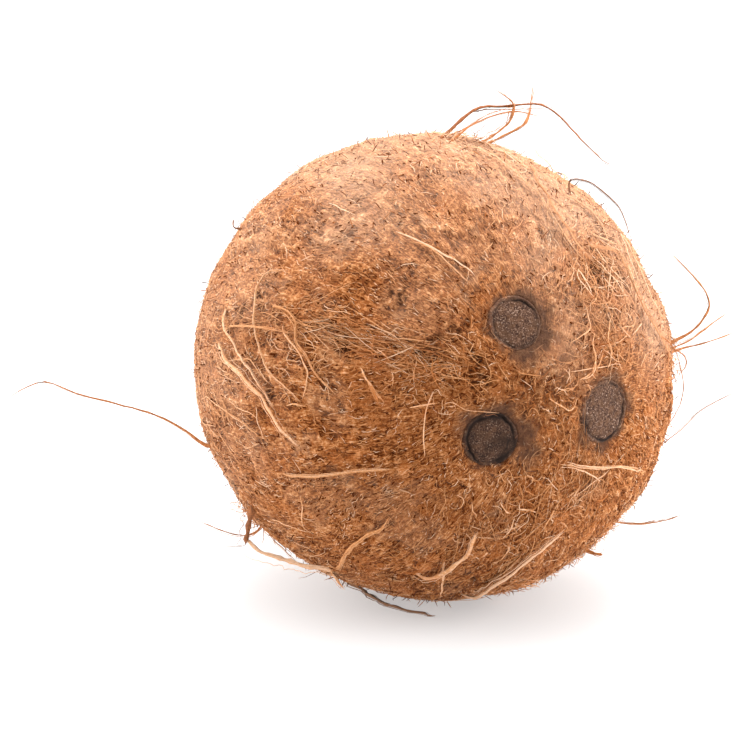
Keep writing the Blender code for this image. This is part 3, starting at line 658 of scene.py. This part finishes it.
def walk(units, heading, length, bend, steps):
    """Directions along each fibre's route over the nut, as (fibres, steps, 3)."""
    way = grain_way(units, heading)
    step = (length / (steps - 1) / EQUATOR_RADIUS)[:, None]
    each = bend if np.ndim(bend) == 2 else (bend / (steps - 1))[:, None]
    turn = np.broadcast_to(each, (len(units), steps))
    route = []
    for i in range(steps):
        route.append(units)
        units, way = units * np.cos(step) + way * np.sin(step), way * np.cos(step) - units * np.sin(step)
        way = way * np.cos(turn[:, i, None]) + np.cross(units, way) * np.sin(turn[:, i, None])
    return np.stack(route, 1)


def smooth_route(points, steps):
    """Points evenly spaced along a Catmull-Rom curve through the given ones."""
    known = np.asarray(points, float)
    ends = np.vstack([2 * known[0] - known[1], known, 2 * known[-1] - known[-2]])
    fine = []
    for a, b, c, d in zip(ends[:-3], ends[1:-2], ends[2:-1], ends[3:]):
        for t in np.linspace(0, 1, 12, endpoint=False):
            fine.append(0.5 * (2 * b + (c - a) * t + (2 * a - 5 * b + 4 * c - d) * t**2
                               + (3 * b - a - 3 * c + d) * t**3))
    fine = np.array(fine + [known[-1]])
    along = np.concatenate([[0], np.cumsum(np.linalg.norm(np.diff(fine, axis=0), axis=1))])
    at = np.linspace(0, along[-1], steps)
    return np.column_stack([np.interp(at, along, fine[:, axis]) for axis in range(3)])


# ==== materials


def linear(hex_colour):
    """An sRGB hex colour as linear RGBA."""
    values = [int(hex_colour[i:i + 2], 16) / 255 for i in (1, 3, 5)]
    return (*[v / 12.92 if v <= 0.04045 else ((v + 0.055) / 1.055) ** 2.4 for v in values], 1.0)


def wire(node, inputs):
    """Links each named input that is given a socket, and sets each that is given a value."""
    for name, value in inputs.items():
        if isinstance(value, bpy.types.NodeSocket):
            node.id_data.links.new(value, node.inputs[name])
        else:
            node.inputs[name].default_value = value


def add_node(tree, kind, inputs=None, output=0, stops=(), **settings):
    """Adds a shader node with its settings, inputs and colour stops. Gives back one of its outputs."""
    node = tree.nodes.new("ShaderNode" + kind)
    for name, value in settings.items():
        setattr(node, name, value)
    wire(node, inputs or {})
    for number, (place, colour) in enumerate(stops):
        elements = node.color_ramp.elements
        element = elements[number] if number < len(elements) else elements.new(place)
        element.position, element.color = place, linear(colour)
    return node.outputs[output] if node.outputs else None


def new_material(name):
    """A material, its shader, and the function that adds a node to it."""
    material = bpy.data.materials.new(name)
    material.use_nodes = True
    return material, material.node_tree.nodes["Principled BSDF"], partial(add_node, material.node_tree)


def coir_place(add):
    """The place on the object in millimetres, and the crumbs of pith there."""
    place = add("TexCoord", output="Object")
    place = add("VectorMath", {0: place, "Scale": 1 / MM}, operation="SCALE")
    crumbs = add("TexNoise", {"Vector": place, "Scale": 1 / PITH_GRAIN, "Detail": 3.0, "Roughness": 0.6})
    return place, crumbs


def coir_colour(add, place, tone):
    """The colour of coir for a tone, after rust, dust and wear, with a painted highlight and painted shade.
    """
    rusty = add("TexNoise", {"Vector": place, "Scale": 1 / RUSTY_PATCH, "Roughness": 0.6})
    rusty = add("MapRange", {"Value": rusty, "From Min": 0.5, "From Max": 0.75}, **SMOOTH)
    colour = add("ValToRGB", {"Fac": tone}, stops=COIR_STOPS)
    for name, greatest, changed in COIR_CHANGES:
        share = rusty if name == "rusty" else add("Attribute", output="Fac", attribute_name=name)
        share = add("Math", {0: share, 1: greatest}, operation="MULTIPLY")
        colour = add("Mix", {0: share, 6: colour, 7: linear(changed)}, output=2, data_type="RGBA")
    return colour


def finish_surface(add, shader, colour, height, strength, depth, roughness, shine):
    """Gives a shader its colour, its relief of a depth in millimetres, its roughness and its shine."""
    bump = add("Bump", {"Height": height, "Strength": strength, "Distance": depth * MM})
    wire(shader, {"Base Color": colour, "Normal": bump, "Roughness": roughness, "Specular IOR Level": shine})


def add_sheen(add, shader):
    """The soft bloom of fine fuzz at a grazing look, which the bare shell lacks."""
    bare = add("Attribute", output="Fac", attribute_name="bare")
    weight = add("MapRange", {"Value": bare, "To Min": 0.18, "To Max": 0.0})
    wire(shader, {"Sheen Weight": weight, "Sheen Roughness": 0.35, "Sheen Tint": linear("#F6D6BC")})


def fibre_material(name, brightness, mottling):
    """Coir fibre: dry and dull with a soft sheen, each its own tan or red brown, and mottled if coarse."""
    material, shader, add = new_material(name)
    place, crumbs = coir_place(add)
    tone = add("Attribute", output="Fac", attribute_name="tone")
    tone = add("Math", {0: tone, 1: brightness - mottling / 2}, operation="ADD")
    tone = add("Math", {0: crumbs, 1: mottling, 2: tone}, operation="MULTIPLY_ADD")
    finish_surface(add, shader, coir_colour(add, place, tone), crumbs, mottling, 0.2, 0.7, 0.1)
    add_sheen(add, shader)
    return material


def gap_material():
    """Painted shade of the mat's inside, for the gaps between fibres: deep red brown and quite dull."""
    material, shader, _ = new_material("shadowed coir")
    wire(shader, {"Base Color": linear("#57280E"), "Roughness": 1.0, "Specular IOR Level": 0.0})
    return material


def felt_material():
    """Matted coir and pith: a felt with grains of half a millimetre, darker in its pits and low places,
    partly its own colour and partly painted shade, and very rough.
    """
    material, shader, add = new_material("matted coir")
    place, crumbs = coir_place(add)
    along = add("Attribute", output="Vector", attribute_name="grain_place")
    depth = add("Attribute", output="Fac", attribute_name="tone")
    streaky = add("TexNoise", {"Vector": along, "Scale": 1 / FIBRE_STREAK, "Roughness": 0.6})
    grain = add("Math", {0: crumbs, 1: streaky}, operation="ADD")
    grain = add("MapRange", {"Value": grain, "From Min": 0.72, "From Max": 1.3}, **SMOOTH)
    pits = add("TexNoise", {"Vector": place, "Scale": 1 / PIT, "Detail": 3.0, "Roughness": 0.6})
    pits = add("MapRange", {"Value": pits, "From Min": 0.6, "From Max": 0.68}, **SMOOTH)
    rough = add("TexNoise", {"Vector": place, "Scale": 1 / ROUGH_PATCH, "Roughness": 0.6})
    rough = add("MapRange", {"Value": rough, "From Min": 0.42, "From Max": 0.6}, **SMOOTH)
    pits = add("Math", {0: pits, 1: rough}, operation="MULTIPLY")
    tone = add("Math", {0: grain, 1: 0.6, 2: depth}, operation="MULTIPLY_ADD")
    # Partly painted shade: the pits are darkened as well as lowered.
    tone = add("Math", {0: pits, 1: -0.6, 2: tone}, operation="MULTIPLY_ADD")
    height = add("Math", {0: pits, 1: -1.5, 2: grain}, operation="MULTIPLY_ADD")
    finish_surface(add, shader, coir_colour(add, place, tone), height, 0.9, 0.35, 0.9, 0.05)
    add_sheen(add, shader)
    return material


def eye_material():
    """The eyes: worn bare shell, dark and dull, dusted with pale specks, with a nearly black groove."""
    material, shader, add = new_material("worn coconut shell")
    place, crumbs = coir_place(add)
    dark = add("Attribute", output="Fac", attribute_name="tone")
    felt = add("Attribute", output="Fac", attribute_name="felt")
    grain = add("TexNoise", {"Vector": place, "Scale": 1 / SHELL_GRAIN, "Roughness": 0.6})
    plate = add("ValToRGB", {"Fac": grain}, stops=SHELL_STOPS)
    worn = add("TexNoise", {"Vector": place, "Scale": 1 / WORN_PATCH, "Detail": 3.0, "Roughness": 0.6})
    worn = add("MapRange", {"Value": worn, "From Min": 0.42, "From Max": 0.62}, **SMOOTH)
    worn = add("Math", {0: worn, 1: 0.5}, operation="MULTIPLY")
    tone = add("MapRange", {"Value": crumbs, "From Min": 0.36, "From Max": 0.64}, **SMOOTH)
    around = coir_colour(add, place, tone)
    colour = add("Mix", {0: worn, 6: plate, 7: linear("#67462F")}, output=2, data_type="RGBA")
    colour = add("Mix", {0: felt, 6: colour, 7: around}, output=2, data_type="RGBA")
    colour = add("Mix", {0: dark, 6: colour, 7: linear("#22150F")}, output=2, data_type="RGBA")
    finish_surface(add, shader, colour, grain, 0.8, 0.2, 0.75, 0.15)
    return material


def floor_material():
    """Plain white paper, quite dull."""
    material, shader, _ = new_material("white paper")
    wire(shader, {"Base Color": linear("#B4B4B4"), "Roughness": 0.9,
                  "Emission Color": linear("#FFFFFF"), "Emission Strength": 0.42})
    return material


# ==== the mat and the eyes


def make_felt(material):
    """The mat itself: the nut's surface with its fibres' streaks, knots and hollows, sunk under the eyes."""
    shape = bmesh.new()
    bmesh.ops.create_icosphere(shape, subdivisions=FELT_SUBDIVISIONS, radius=1.0)
    units = unit(np.array([vertex.co for vertex in shape.verts]))
    faces = np.array([[vertex.index for vertex in face.verts] for face in shape.faces])
    shape.free()
    place = units * EQUATOR_RADIUS
    fine = (streaks(units, *FINE_STREAKS) + 0.8 * streaks(units, *FINER_STREAKS, 7.0)) * off_axis(units)
    knots = 0.7 * cloud(place / 2.6) + 0.8 * cloud(place / 1.3)
    depth = (fine + knots) * (0.45 + 0.55 * ease(-0.25, 0.25, cloud(place / 13.0)))
    paint = weathering_and_painted_light(units)
    height = mat_height(units) - FELT_SUNK + FELT_RELIEF * depth - HOLLOW_DEPTH * paint["deep"]
    height -= FELT_UNDER_EYE * (1 - ease(0.3, 1.0, beyond_eye(units)))
    # The felt is darker where its relief sinks, partly painted shade, and darker in the hollows, painted
    # shade.
    paint["tone"] = 0.12 + 0.3 * depth - 0.4 * paint["deep"]
    colatitude, longitude = angles(units)
    along_grain = [np.cos(longitude), np.sin(longitude), colatitude / 3.5]
    paint["grain_place"] = EQUATOR_RADIUS * np.stack(along_grain, -1)
    points = units * height[:, None]
    corners = points[faces]
    flat = np.cross(corners[:, 1] - corners[:, 0], corners[:, 2] - corners[:, 0])
    normals = np.zeros_like(points)
    for corner in range(3):
        np.add.at(normals, faces[:, corner], flat)
    front = units[faces].mean(1) @ directions(*PLACED_SIDE) > 0
    for name, half in (("felt_front", front), ("felt_back", ~front)):
        used, numbers = np.unique(faces[half], return_inverse=True)
        own_paint = {key: values[used] for key, values in paint.items()}
        own_faces = numbers.reshape(-1, 3).tolist()
        add_mesh(name, points[used], own_faces, material, own_paint, unit(normals[used]))


def eye_surface(number):
    """One eye's points and the values on them: a low worn disc in an uneven ring groove, then felt."""
    eye, radius = EYE_DIRECTIONS[number], EYE_RADII[number]
    turn = np.append(0, np.tile(np.arange(EYE_SPOKES) * 2 * math.pi / EYE_SPOKES, EYE_RINGS))
    out = np.append(0, np.repeat(np.linspace(0, radius + EYE_LIP, EYE_RINGS + 1)[1:], EYE_SPOKES))
    east = unit(np.cross([0, 0, 1], eye))
    aside = np.cos(turn)[:, None] * east + np.sin(turn)[:, None] * np.cross(eye, east)
    units = np.cos(out / EQUATOR_RADIUS)[:, None] * eye + np.sin(out / EQUATOR_RADIUS)[:, None] * aside
    place = units * EQUATOR_RADIUS
    past = out - radius + 0.6 * cloud(place / 4.5, number * 9.0) + 0.4 * cloud(place / 1.4)
    width = GROOVE_WIDTH + 0.25 * cloud(place / 2.5, 5.0)
    from_deep = [np.abs((np.degrees(turn) - deep + 180) % 360 - 180) for deep in GROOVES_DEEP_AT[number]]
    strength = 0.15 + 0.75 * np.exp(-((np.min(from_deep, axis=0) / 45) ** 2)) + 0.7 * cloud(place / 4.0, 3.0)
    groove = strength.clip(0.05, 1) * np.exp(-((past / width) ** 2))
    inner = np.exp(-(((past + INNER_RING_GAP) / INNER_RING_WIDTH) ** 2))
    inner *= np.clip(1.6 * cloud(place / 4.0, 8.0), 0, 0.5)
    dome = PLATE_DOME * np.clip(1 - (1 + past / radius) ** 2, 0, 1)
    felt = ease(0.0, 0.8, past)
    height = nut_radius(units) + dome + 0.1 * felt - GROOVE_DEPTH * groove - INNER_RING_DEPTH * inner
    height += 0.15 * cloud(place / 0.9) - 1.6 * ease(0.6, EYE_LIP, out - radius)
    rim = RIM_STAIN * np.exp(-((past - 0.3) ** 2))
    dark = 0.9 * groove + 0.6 * inner + rim + PLATE_DARKNESS[number] + 0.5 * cloud(place / 3.0)
    return units * height[:, None], weathering_and_painted_light(units) | {"tone": dark.clip(0, 1), "felt": felt}


def make_eyes(material):
    """The three eyes, each with faces in rings round its middle."""
    points, paints = zip(*[eye_surface(number) for number in range(len(EYE_RADII))])
    faces = []
    for middle in range(0, sum(map(len, points)), len(points[0])):
        for spoke in range(EYE_SPOKES):
            after = (spoke + 1) % EYE_SPOKES
            faces.append((middle, middle + 1 + spoke, middle + 1 + after))
            for ring in range(EYE_RINGS - 1):
                a = middle + 1 + ring * EYE_SPOKES
                faces.append((a + spoke, a + EYE_SPOKES + spoke, a + EYE_SPOKES + after, a + after))
    paint = {key: np.concatenate([one[key] for one in paints]) for key in paints[0]}
    add_mesh("eyes", np.vstack(points), faces, material, paint)


# ==== the fibres of the mat


def matted_roots(count, draw):
    """Roots spread over the mat: none on the eyes, few beside them, fewer in the pits."""
    units = spread_directions(count, draw)
    place = units * EQUATOR_RADIUS
    chance = ease(-0.1, 0.5, beyond_eye(units)) * (1 - 0.7 * bare_share(units))
    chance *= 0.7 + 0.8 * cloud(place / 2.2) + 0.6 * cloud(place / 7.0)
    return units[draw.random(len(units)) < chance]


def grain_heading(units, draw, stray):
    """Headings along the grain, which runs from end to end, swirls a little and gets lost near the ends."""
    place = units * EQUATOR_RADIUS
    lost = 1.3 * np.exp(-((off_axis(units) / 0.35) ** 2))
    swirl = 0.8 * cloud(place / 20.0) + 0.5 * cloud(place / 6.0)
    flip = np.where(draw.random(len(units)) < 0.5, 0.0, math.pi)
    return flip + swirl + draw.normal(0, 1, len(units)) * (stray + lost)


def lay_fibres(units, heading, draw, length, spread, bend, thickness, steps, arch, stand):
    """Paths and radii of fibres laid on the mat from their roots, and which were kept off the eyes."""
    count = len(units)
    lengths = np.exp(draw.normal(math.log(length), spread, count)).clip(0.4 * length, 2.5 * length)
    bends = draw.normal(0, bend / 2, count)[:, None] / steps
    bends = bends + draw.normal(0, bend, (count, steps)) / steps**0.5
    route = walk(units, heading, lengths, bends, steps)
    share = np.linspace(0, 1, steps)
    rise = draw.exponential(1, count)[:, None].clip(0, 2) * stand
    bow = (ROOT_SUNK + arch * draw.random(count)[:, None]) * np.sin(np.pi * share)
    radii = draw.uniform(*thickness, count)[:, None] / 2 * taper(share, 0.12, 0.85)
    base = nut_radius(route) + (mat_height(units) - nut_radius(units))[:, None]
    paths = route * (base - ROOT_SUNK + bow + rise * share**1.5)[..., None]
    clear = beyond_eye(route).min(axis=1) > -EYE_OVERHANG
    return paths[clear], radii[clear], clear


def tones_for(units, draw, middle, patch, scatter):
    """Tones of single fibres, which also drift from place to place."""
    drift = 0.5 * cloud(units * EQUATOR_RADIUS / patch)
    paler = PALER_BY * (draw.random(len(units)) < PALE_FIBRES)
    return (middle + scatter * draw.normal(0, 1, len(units)) + drift + paler).clip(0, 1)


def make_mat_fibres(names, material, draw, count, stray, tone, patch, scatter=0.18, painted_highlight_share=1.0, **shape):
    """One kind of fibre all over the mat, mostly along its grain, in a piece for each name."""
    units = matted_roots(int(count / ROOTS_KEPT), draw)
    if len(names) > 1:
        units = units[draw.permutation(len(units))][:count]
    paths, radii, kept = lay_fibres(units, grain_heading(units, draw, stray), draw, **shape)
    tones = tones_for(units[kept], draw, tone, patch, scatter)
    for name, chosen in zip(names, np.array_split(np.arange(len(paths)), len(names))):
        add_fibres(name, paths[chosen], radii[chosen], tones[chosen], material, painted_highlight_share=painted_highlight_share)


def make_flecks(material, draw):
    """Painted shade: short flat dark fibres where the gaps between the fibres lie in shadow."""
    units = spread_directions(3 * FLECKS, draw)
    place = units * EQUATOR_RADIUS
    worn = weathering_and_painted_light(units)
    # Fewer flecks of painted shade on bare shell and under the painted highlight.
    chance = (1 - worn["bare"]) ** 3 * (1 - 0.6 * worn["painted_highlight"])
    chance *= 0.36 + 1.2 * cloud(place / 8.0) + 0.8 * cloud(place / 2.5)
    units = units[draw.random(len(units)) < chance]
    paths, radii, _ = lay_fibres(units, grain_heading(units, draw, FLECK_STRAY), draw, **FLECK_SHAPE)
    add_fibres("flecks", paths, radii, 0.03 + 0.1 * draw.random(len(paths)), material, flatness=0.3)


def make_bunches(material, draw):
    """Fibres in bunches: combed along a seam, netted, or curled."""
    all_paths, all_radii = [], []
    for place in BUNCHES.values():
        colatitude, longitude, along, across, count, heading, scatter, length, bend, stand = place
        middle = directions([colatitude], [longitude])
        south, east = grain_way(middle, np.array([0.0])), grain_way(middle, np.array([math.pi / 2]))
        a, b = draw.normal(0, along, (count, 1)), draw.normal(0, across, (count, 1))
        units = unit(middle + (a * south + b * east) / EQUATOR_RADIUS)
        way = np.radians(heading + scatter * draw.normal(0, 1, count)) + math.pi * draw.integers(0, 2, count)
        start = walk(units, way + math.pi, np.full(count, length / 2), np.zeros(count), 2)[:, 1]
        paths, radii, _ = lay_fibres(start, way, draw, length=length, bend=bend, stand=stand, **BUNCH_SHAPE)
        all_paths.append(paths)
        all_radii.append(radii)
    paths = np.concatenate(all_paths)
    tones = (0.58 + 0.2 * draw.normal(0, 1, len(paths))).clip(0, 1)
    add_fibres("bunches", paths, np.concatenate(all_radii), tones, material)


def make_fine_threads(material, draw):
    """Fine single fibres that lie on the mat, each on its own route."""
    share = np.linspace(0, 1, FINE_STEPS)
    paths, radii = [], []
    for thickness, _, *places in FINE_THREADS:
        units = directions(*np.array(places, float).T)
        lifts = 0.35 + 0.5 * np.sin(np.pi * np.linspace(0, 1, len(places)))
        route = smooth_route(units * (mat_height(units) + lifts)[:, None], FINE_STEPS)
        paths.append(route + 0.35 * sway(route, 3.0))
        radii.append(thickness / 2 * taper(share, power=0.4) * (1 + 0.5 * cloud(route)))
    tones = np.array([tone for _, tone, *_ in FINE_THREADS]) + 0.08 * draw.normal(0, 1, len(paths))
    add_fibres("fine_threads", np.stack(paths), np.stack(radii), tones.clip(0, 1), material, sides=4)


def make_hairs(material):
    """Fine hairs that stand off the mat and thin out to their tips."""
    share = np.linspace(0, 1, FINE_STEPS)
    paths = np.stack([smooth_route(lifted(places), FINE_STEPS) for _, _, *places in HAIRS])
    radii = np.array([thickness / 2 * (1 - 0.6 * share) for thickness, *_ in HAIRS])
    tones = np.array([tone for _, tone, *_ in HAIRS])
    # The hairs take none of the painted highlight.
    add_fibres("hairs", paths, radii, tones, material, sides=4, painted_highlight_share=0.0)


# ==== the coarse strands


def scattered_routes(taken):
    """Routes spread evenly over the rest of the nut, clear of the points taken and of the floor."""
    draw = random.Random(STRAND_SEED)
    golden = math.pi * (3 - math.sqrt(5))
    routes = []
    for i in range(SCATTERED_STRANDS):
        colatitude = math.acos(1 - 2 * (i + 0.5) / SCATTERED_STRANDS)
        longitude = i * golden + draw.uniform(-0.12, 0.12)
        heading = draw.choice((0.0, math.pi)) + draw.gauss(0.0, 0.55)
        bend = draw.gauss(0.0, 0.5)
        if draw.random() < 0.3:
            reach = draw.uniform(5.0, 13.0)
            lifts = [-ROOT_DEPTH, 1.8, 0.35 * reach, 0.65 * reach, reach]
            length, thickness = draw.uniform(9, 20), draw.uniform(0.65, 1.0)
        else:
            lifts = [-ROOT_DEPTH, 1.3, 1.6, 1.7, draw.uniform(1.2, 2.6)]
            length, thickness = draw.uniform(15, 32), draw.uniform(0.65, 1.3)
        start = directions(math.degrees(colatitude), math.degrees(longitude))[None]
        units = walk(start, np.array([heading]), np.array([length]), np.array([bend]), len(lifts))[0]
        route = units * (nut_radius(units) + np.array(lifts))[:, None]
        root_gap = min(np.linalg.norm(route[0] - other) for other in taken)
        side_gap = np.arccos(units @ directions(*PLACED_SIDE)).min()
        lowest = (route @ NUT_TURN.T)[:, 2].min() + CENTRE_HEIGHT
        if root_gap > STRAND_CLEARANCE and side_gap > PLACED_SIDE_REACH and lowest > FLOOR_CLEARANCE:
            routes.append((route, thickness))
            taken = taken + list(route)
    return routes


def wander(paths, size, draw):
    """A smooth sideways drift of its own for each path, which turns about once in a size."""
    return sway(paths, size, draw.uniform(0, 99, (len(paths), 1, 1)), apart=30.0)


def make_split_fibres(material, draw, paths, radii, tones, fray, dust, painted_highlight_share):
    """Thin fibres, each of which follows a coarse strand and parts from it."""
    share = np.linspace(0, 1, STRAND_STEPS)
    start = draw.uniform(0, 1, len(paths))[:, None]
    part = np.abs(share - start) ** 1.7 * draw.uniform(0.2, 2.4, len(paths))[:, None] * fray[:, None]
    aside = draw.normal(0, 1, (len(paths), 1, 3)) * (0.9 * radii + part)[..., None]
    paths = paths + aside + 0.9 * wander(paths, 5.0, draw) * part[..., None]
    thickness = draw.uniform(0.12, 0.28, len(paths))[:, None] * np.clip(radii[:, :1] / 0.25, 0.4, 1)
    radii = thickness / 2 * taper(share)
    tones = (tones * draw.uniform(0.8, 1.2, len(paths))).clip(0, 1)
    add_fibres("split_fibres", paths, radii, tones, material, dust=dust, painted_highlight_share=painted_highlight_share)


def make_strands(material, draw):
    """The coarse strands, each on its route in the solid, and the thin fibres that part from them."""
    strands = [(name, lifted(places), root, tip) for name, root, tip, places in STANDING + LYING]
    taken = [point for _, points, _, _ in strands for point in points]
    strands += [("scattered", points, thickness, THINNEST) for points, thickness in scattered_routes(taken)]
    names, routes, roots, tips = zip(*strands)
    roots, tips = np.array(roots)[:, None], np.array(tips)[:, None]
    stands = np.arange(len(strands)) < len(STANDING)
    looks = [STRAND_LOOKS.get(name, STRAND_LOOKS["standing" if up else "lying"])
             for name, up in zip(names, stands)]
    tones, widths, kinks, fray, dust = np.array(looks).T
    paths = np.stack([smooth_route(points, STRAND_STEPS) for points in routes])
    paths = paths + kinks[:, None, None] * (0.9 * wander(paths, 5.0, draw) + 0.35 * wander(paths, 1.8, draw))
    share = np.linspace(0, 1, STRAND_STEPS)
    radii = widths[:, None] * (roots + (tips - roots) * share) / 2 * (1 + 0.6 * cloud(paths / 1.6))
    radii *= np.clip((1 - share) / 0.1, 0.3, 1) * (1 - 0.32 * share * (tips <= THINNEST))
    radii[stands & (roots > tips)[:, 0]] *= 1.4 - 0.4 * ease(0.05, 0.3, share)
    # Standing strands take little of the painted highlight, lying ones more.
    painted_highlight_share = np.where(stands, 0.1, 0.6)
    tones = (tones + 0.07 * draw.normal(0, 1, len(strands))).clip(0, 1)
    add_fibres("strands", paths, radii, tones, material, sides=6, flatness=0.6, dust=dust, painted_highlight_share=painted_highlight_share)
    per_split = [np.repeat(values, SPLITS, 0) for values in (paths, radii, tones, fray, dust, painted_highlight_share)]
    make_split_fibres(material, draw, *per_split)


# ==== the studio


def make_floor():
    bpy.ops.mesh.primitive_plane_add(size=FLOOR_SIZE)
    floor = bpy.context.object
    floor.name = "floor"
    floor.data.materials.append(floor_material())


def make_camera():
    azimuth, elevation = CAMERA_AZIMUTH, CAMERA_ELEVATION
    back = Vector((math.sin(azimuth) * math.cos(elevation), -math.cos(azimuth) * math.cos(elevation),
                   math.sin(elevation)))
    right = Vector((math.cos(azimuth), math.sin(azimuth), 0))
    target = (Vector((0, 0, CENTRE_HEIGHT)) - right * AIM_ASIDE) * MM
    camera = bpy.data.objects.new("camera", bpy.data.cameras.new("camera"))
    camera.data.lens = LENS
    camera.data.clip_start = 0.05
    camera.location = target + back * CAMERA_DISTANCE * MM
    camera.rotation_euler = back.to_track_quat("Z", "Y").to_euler()
    bpy.context.scene.collection.objects.link(camera)
    bpy.context.scene.camera = camera


def make_light():
    """A white studio, seen as plain white, whose far side and ceiling give most of the light."""
    world = bpy.data.worlds.new("studio")
    world.use_nodes = True
    world.node_tree.nodes.clear()
    add = partial(add_node, world.node_tree)
    place = add("TexCoord", output="Generated")
    toward = add("VectorMath", {0: place, 1: BRIGHT_SIDE}, output="Value", operation="DOT_PRODUCT")
    strength = add("MapRange", {"Value": toward, "From Min": -0.6, "From Max": 0.7,
                                "To Min": 0.12, "To Max": 3.0}, **SMOOTH)
    light = add("Background", {"Strength": strength})
    seen = add("Background", {"Color": linear("#FFFFFF"), "Strength": 1.0})
    is_seen = add("LightPath", output="Is Camera Ray")
    both = add("MixShader", {0: is_seen, 1: light, 2: seen})
    add("OutputWorld", {"Surface": both})
    bpy.context.scene.world = world
    bpy.context.scene.view_settings.view_transform = "Standard"
    for name, (place, power, size) in LAMPS.items():
        lamp = bpy.data.lights.new(name, "AREA")
        lamp.energy, lamp.size = power, size
        box = bpy.data.objects.new(name, lamp)
        box.location = place
        from_nut = Vector(place) - Vector((0, 0, CENTRE_HEIGHT * MM))
        box.rotation_euler = from_nut.to_track_quat("Z", "Y").to_euler()
        bpy.context.scene.collection.objects.link(box)


def main():
    for obj in list(bpy.data.objects):
        bpy.data.objects.remove(obj)
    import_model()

    draw = np.random.default_rng(SEED)
    fibre = fibre_material("coir fibre", 0.0, 0.2)
    strand = fibre_material("coir strand", 0.06, 0.8)
    make_felt(felt_material())
    make_eyes(eye_material())
    make_mat_fibres(("grains_0", "grains_1"), fibre, draw, **GRAINS)
    make_flecks(gap_material(), draw)
    for name, kind in (("felted_fibres", FELTED), ("bristles", BRISTLES), ("threads", THREADS)):
        make_mat_fibres((name,), fibre, draw, **kind)
    make_bunches(strand, draw)
    make_fine_threads(strand, draw)
    make_hairs(strand)
    make_strands(strand, draw)

    make_floor()
    make_camera()
    make_light()


main()
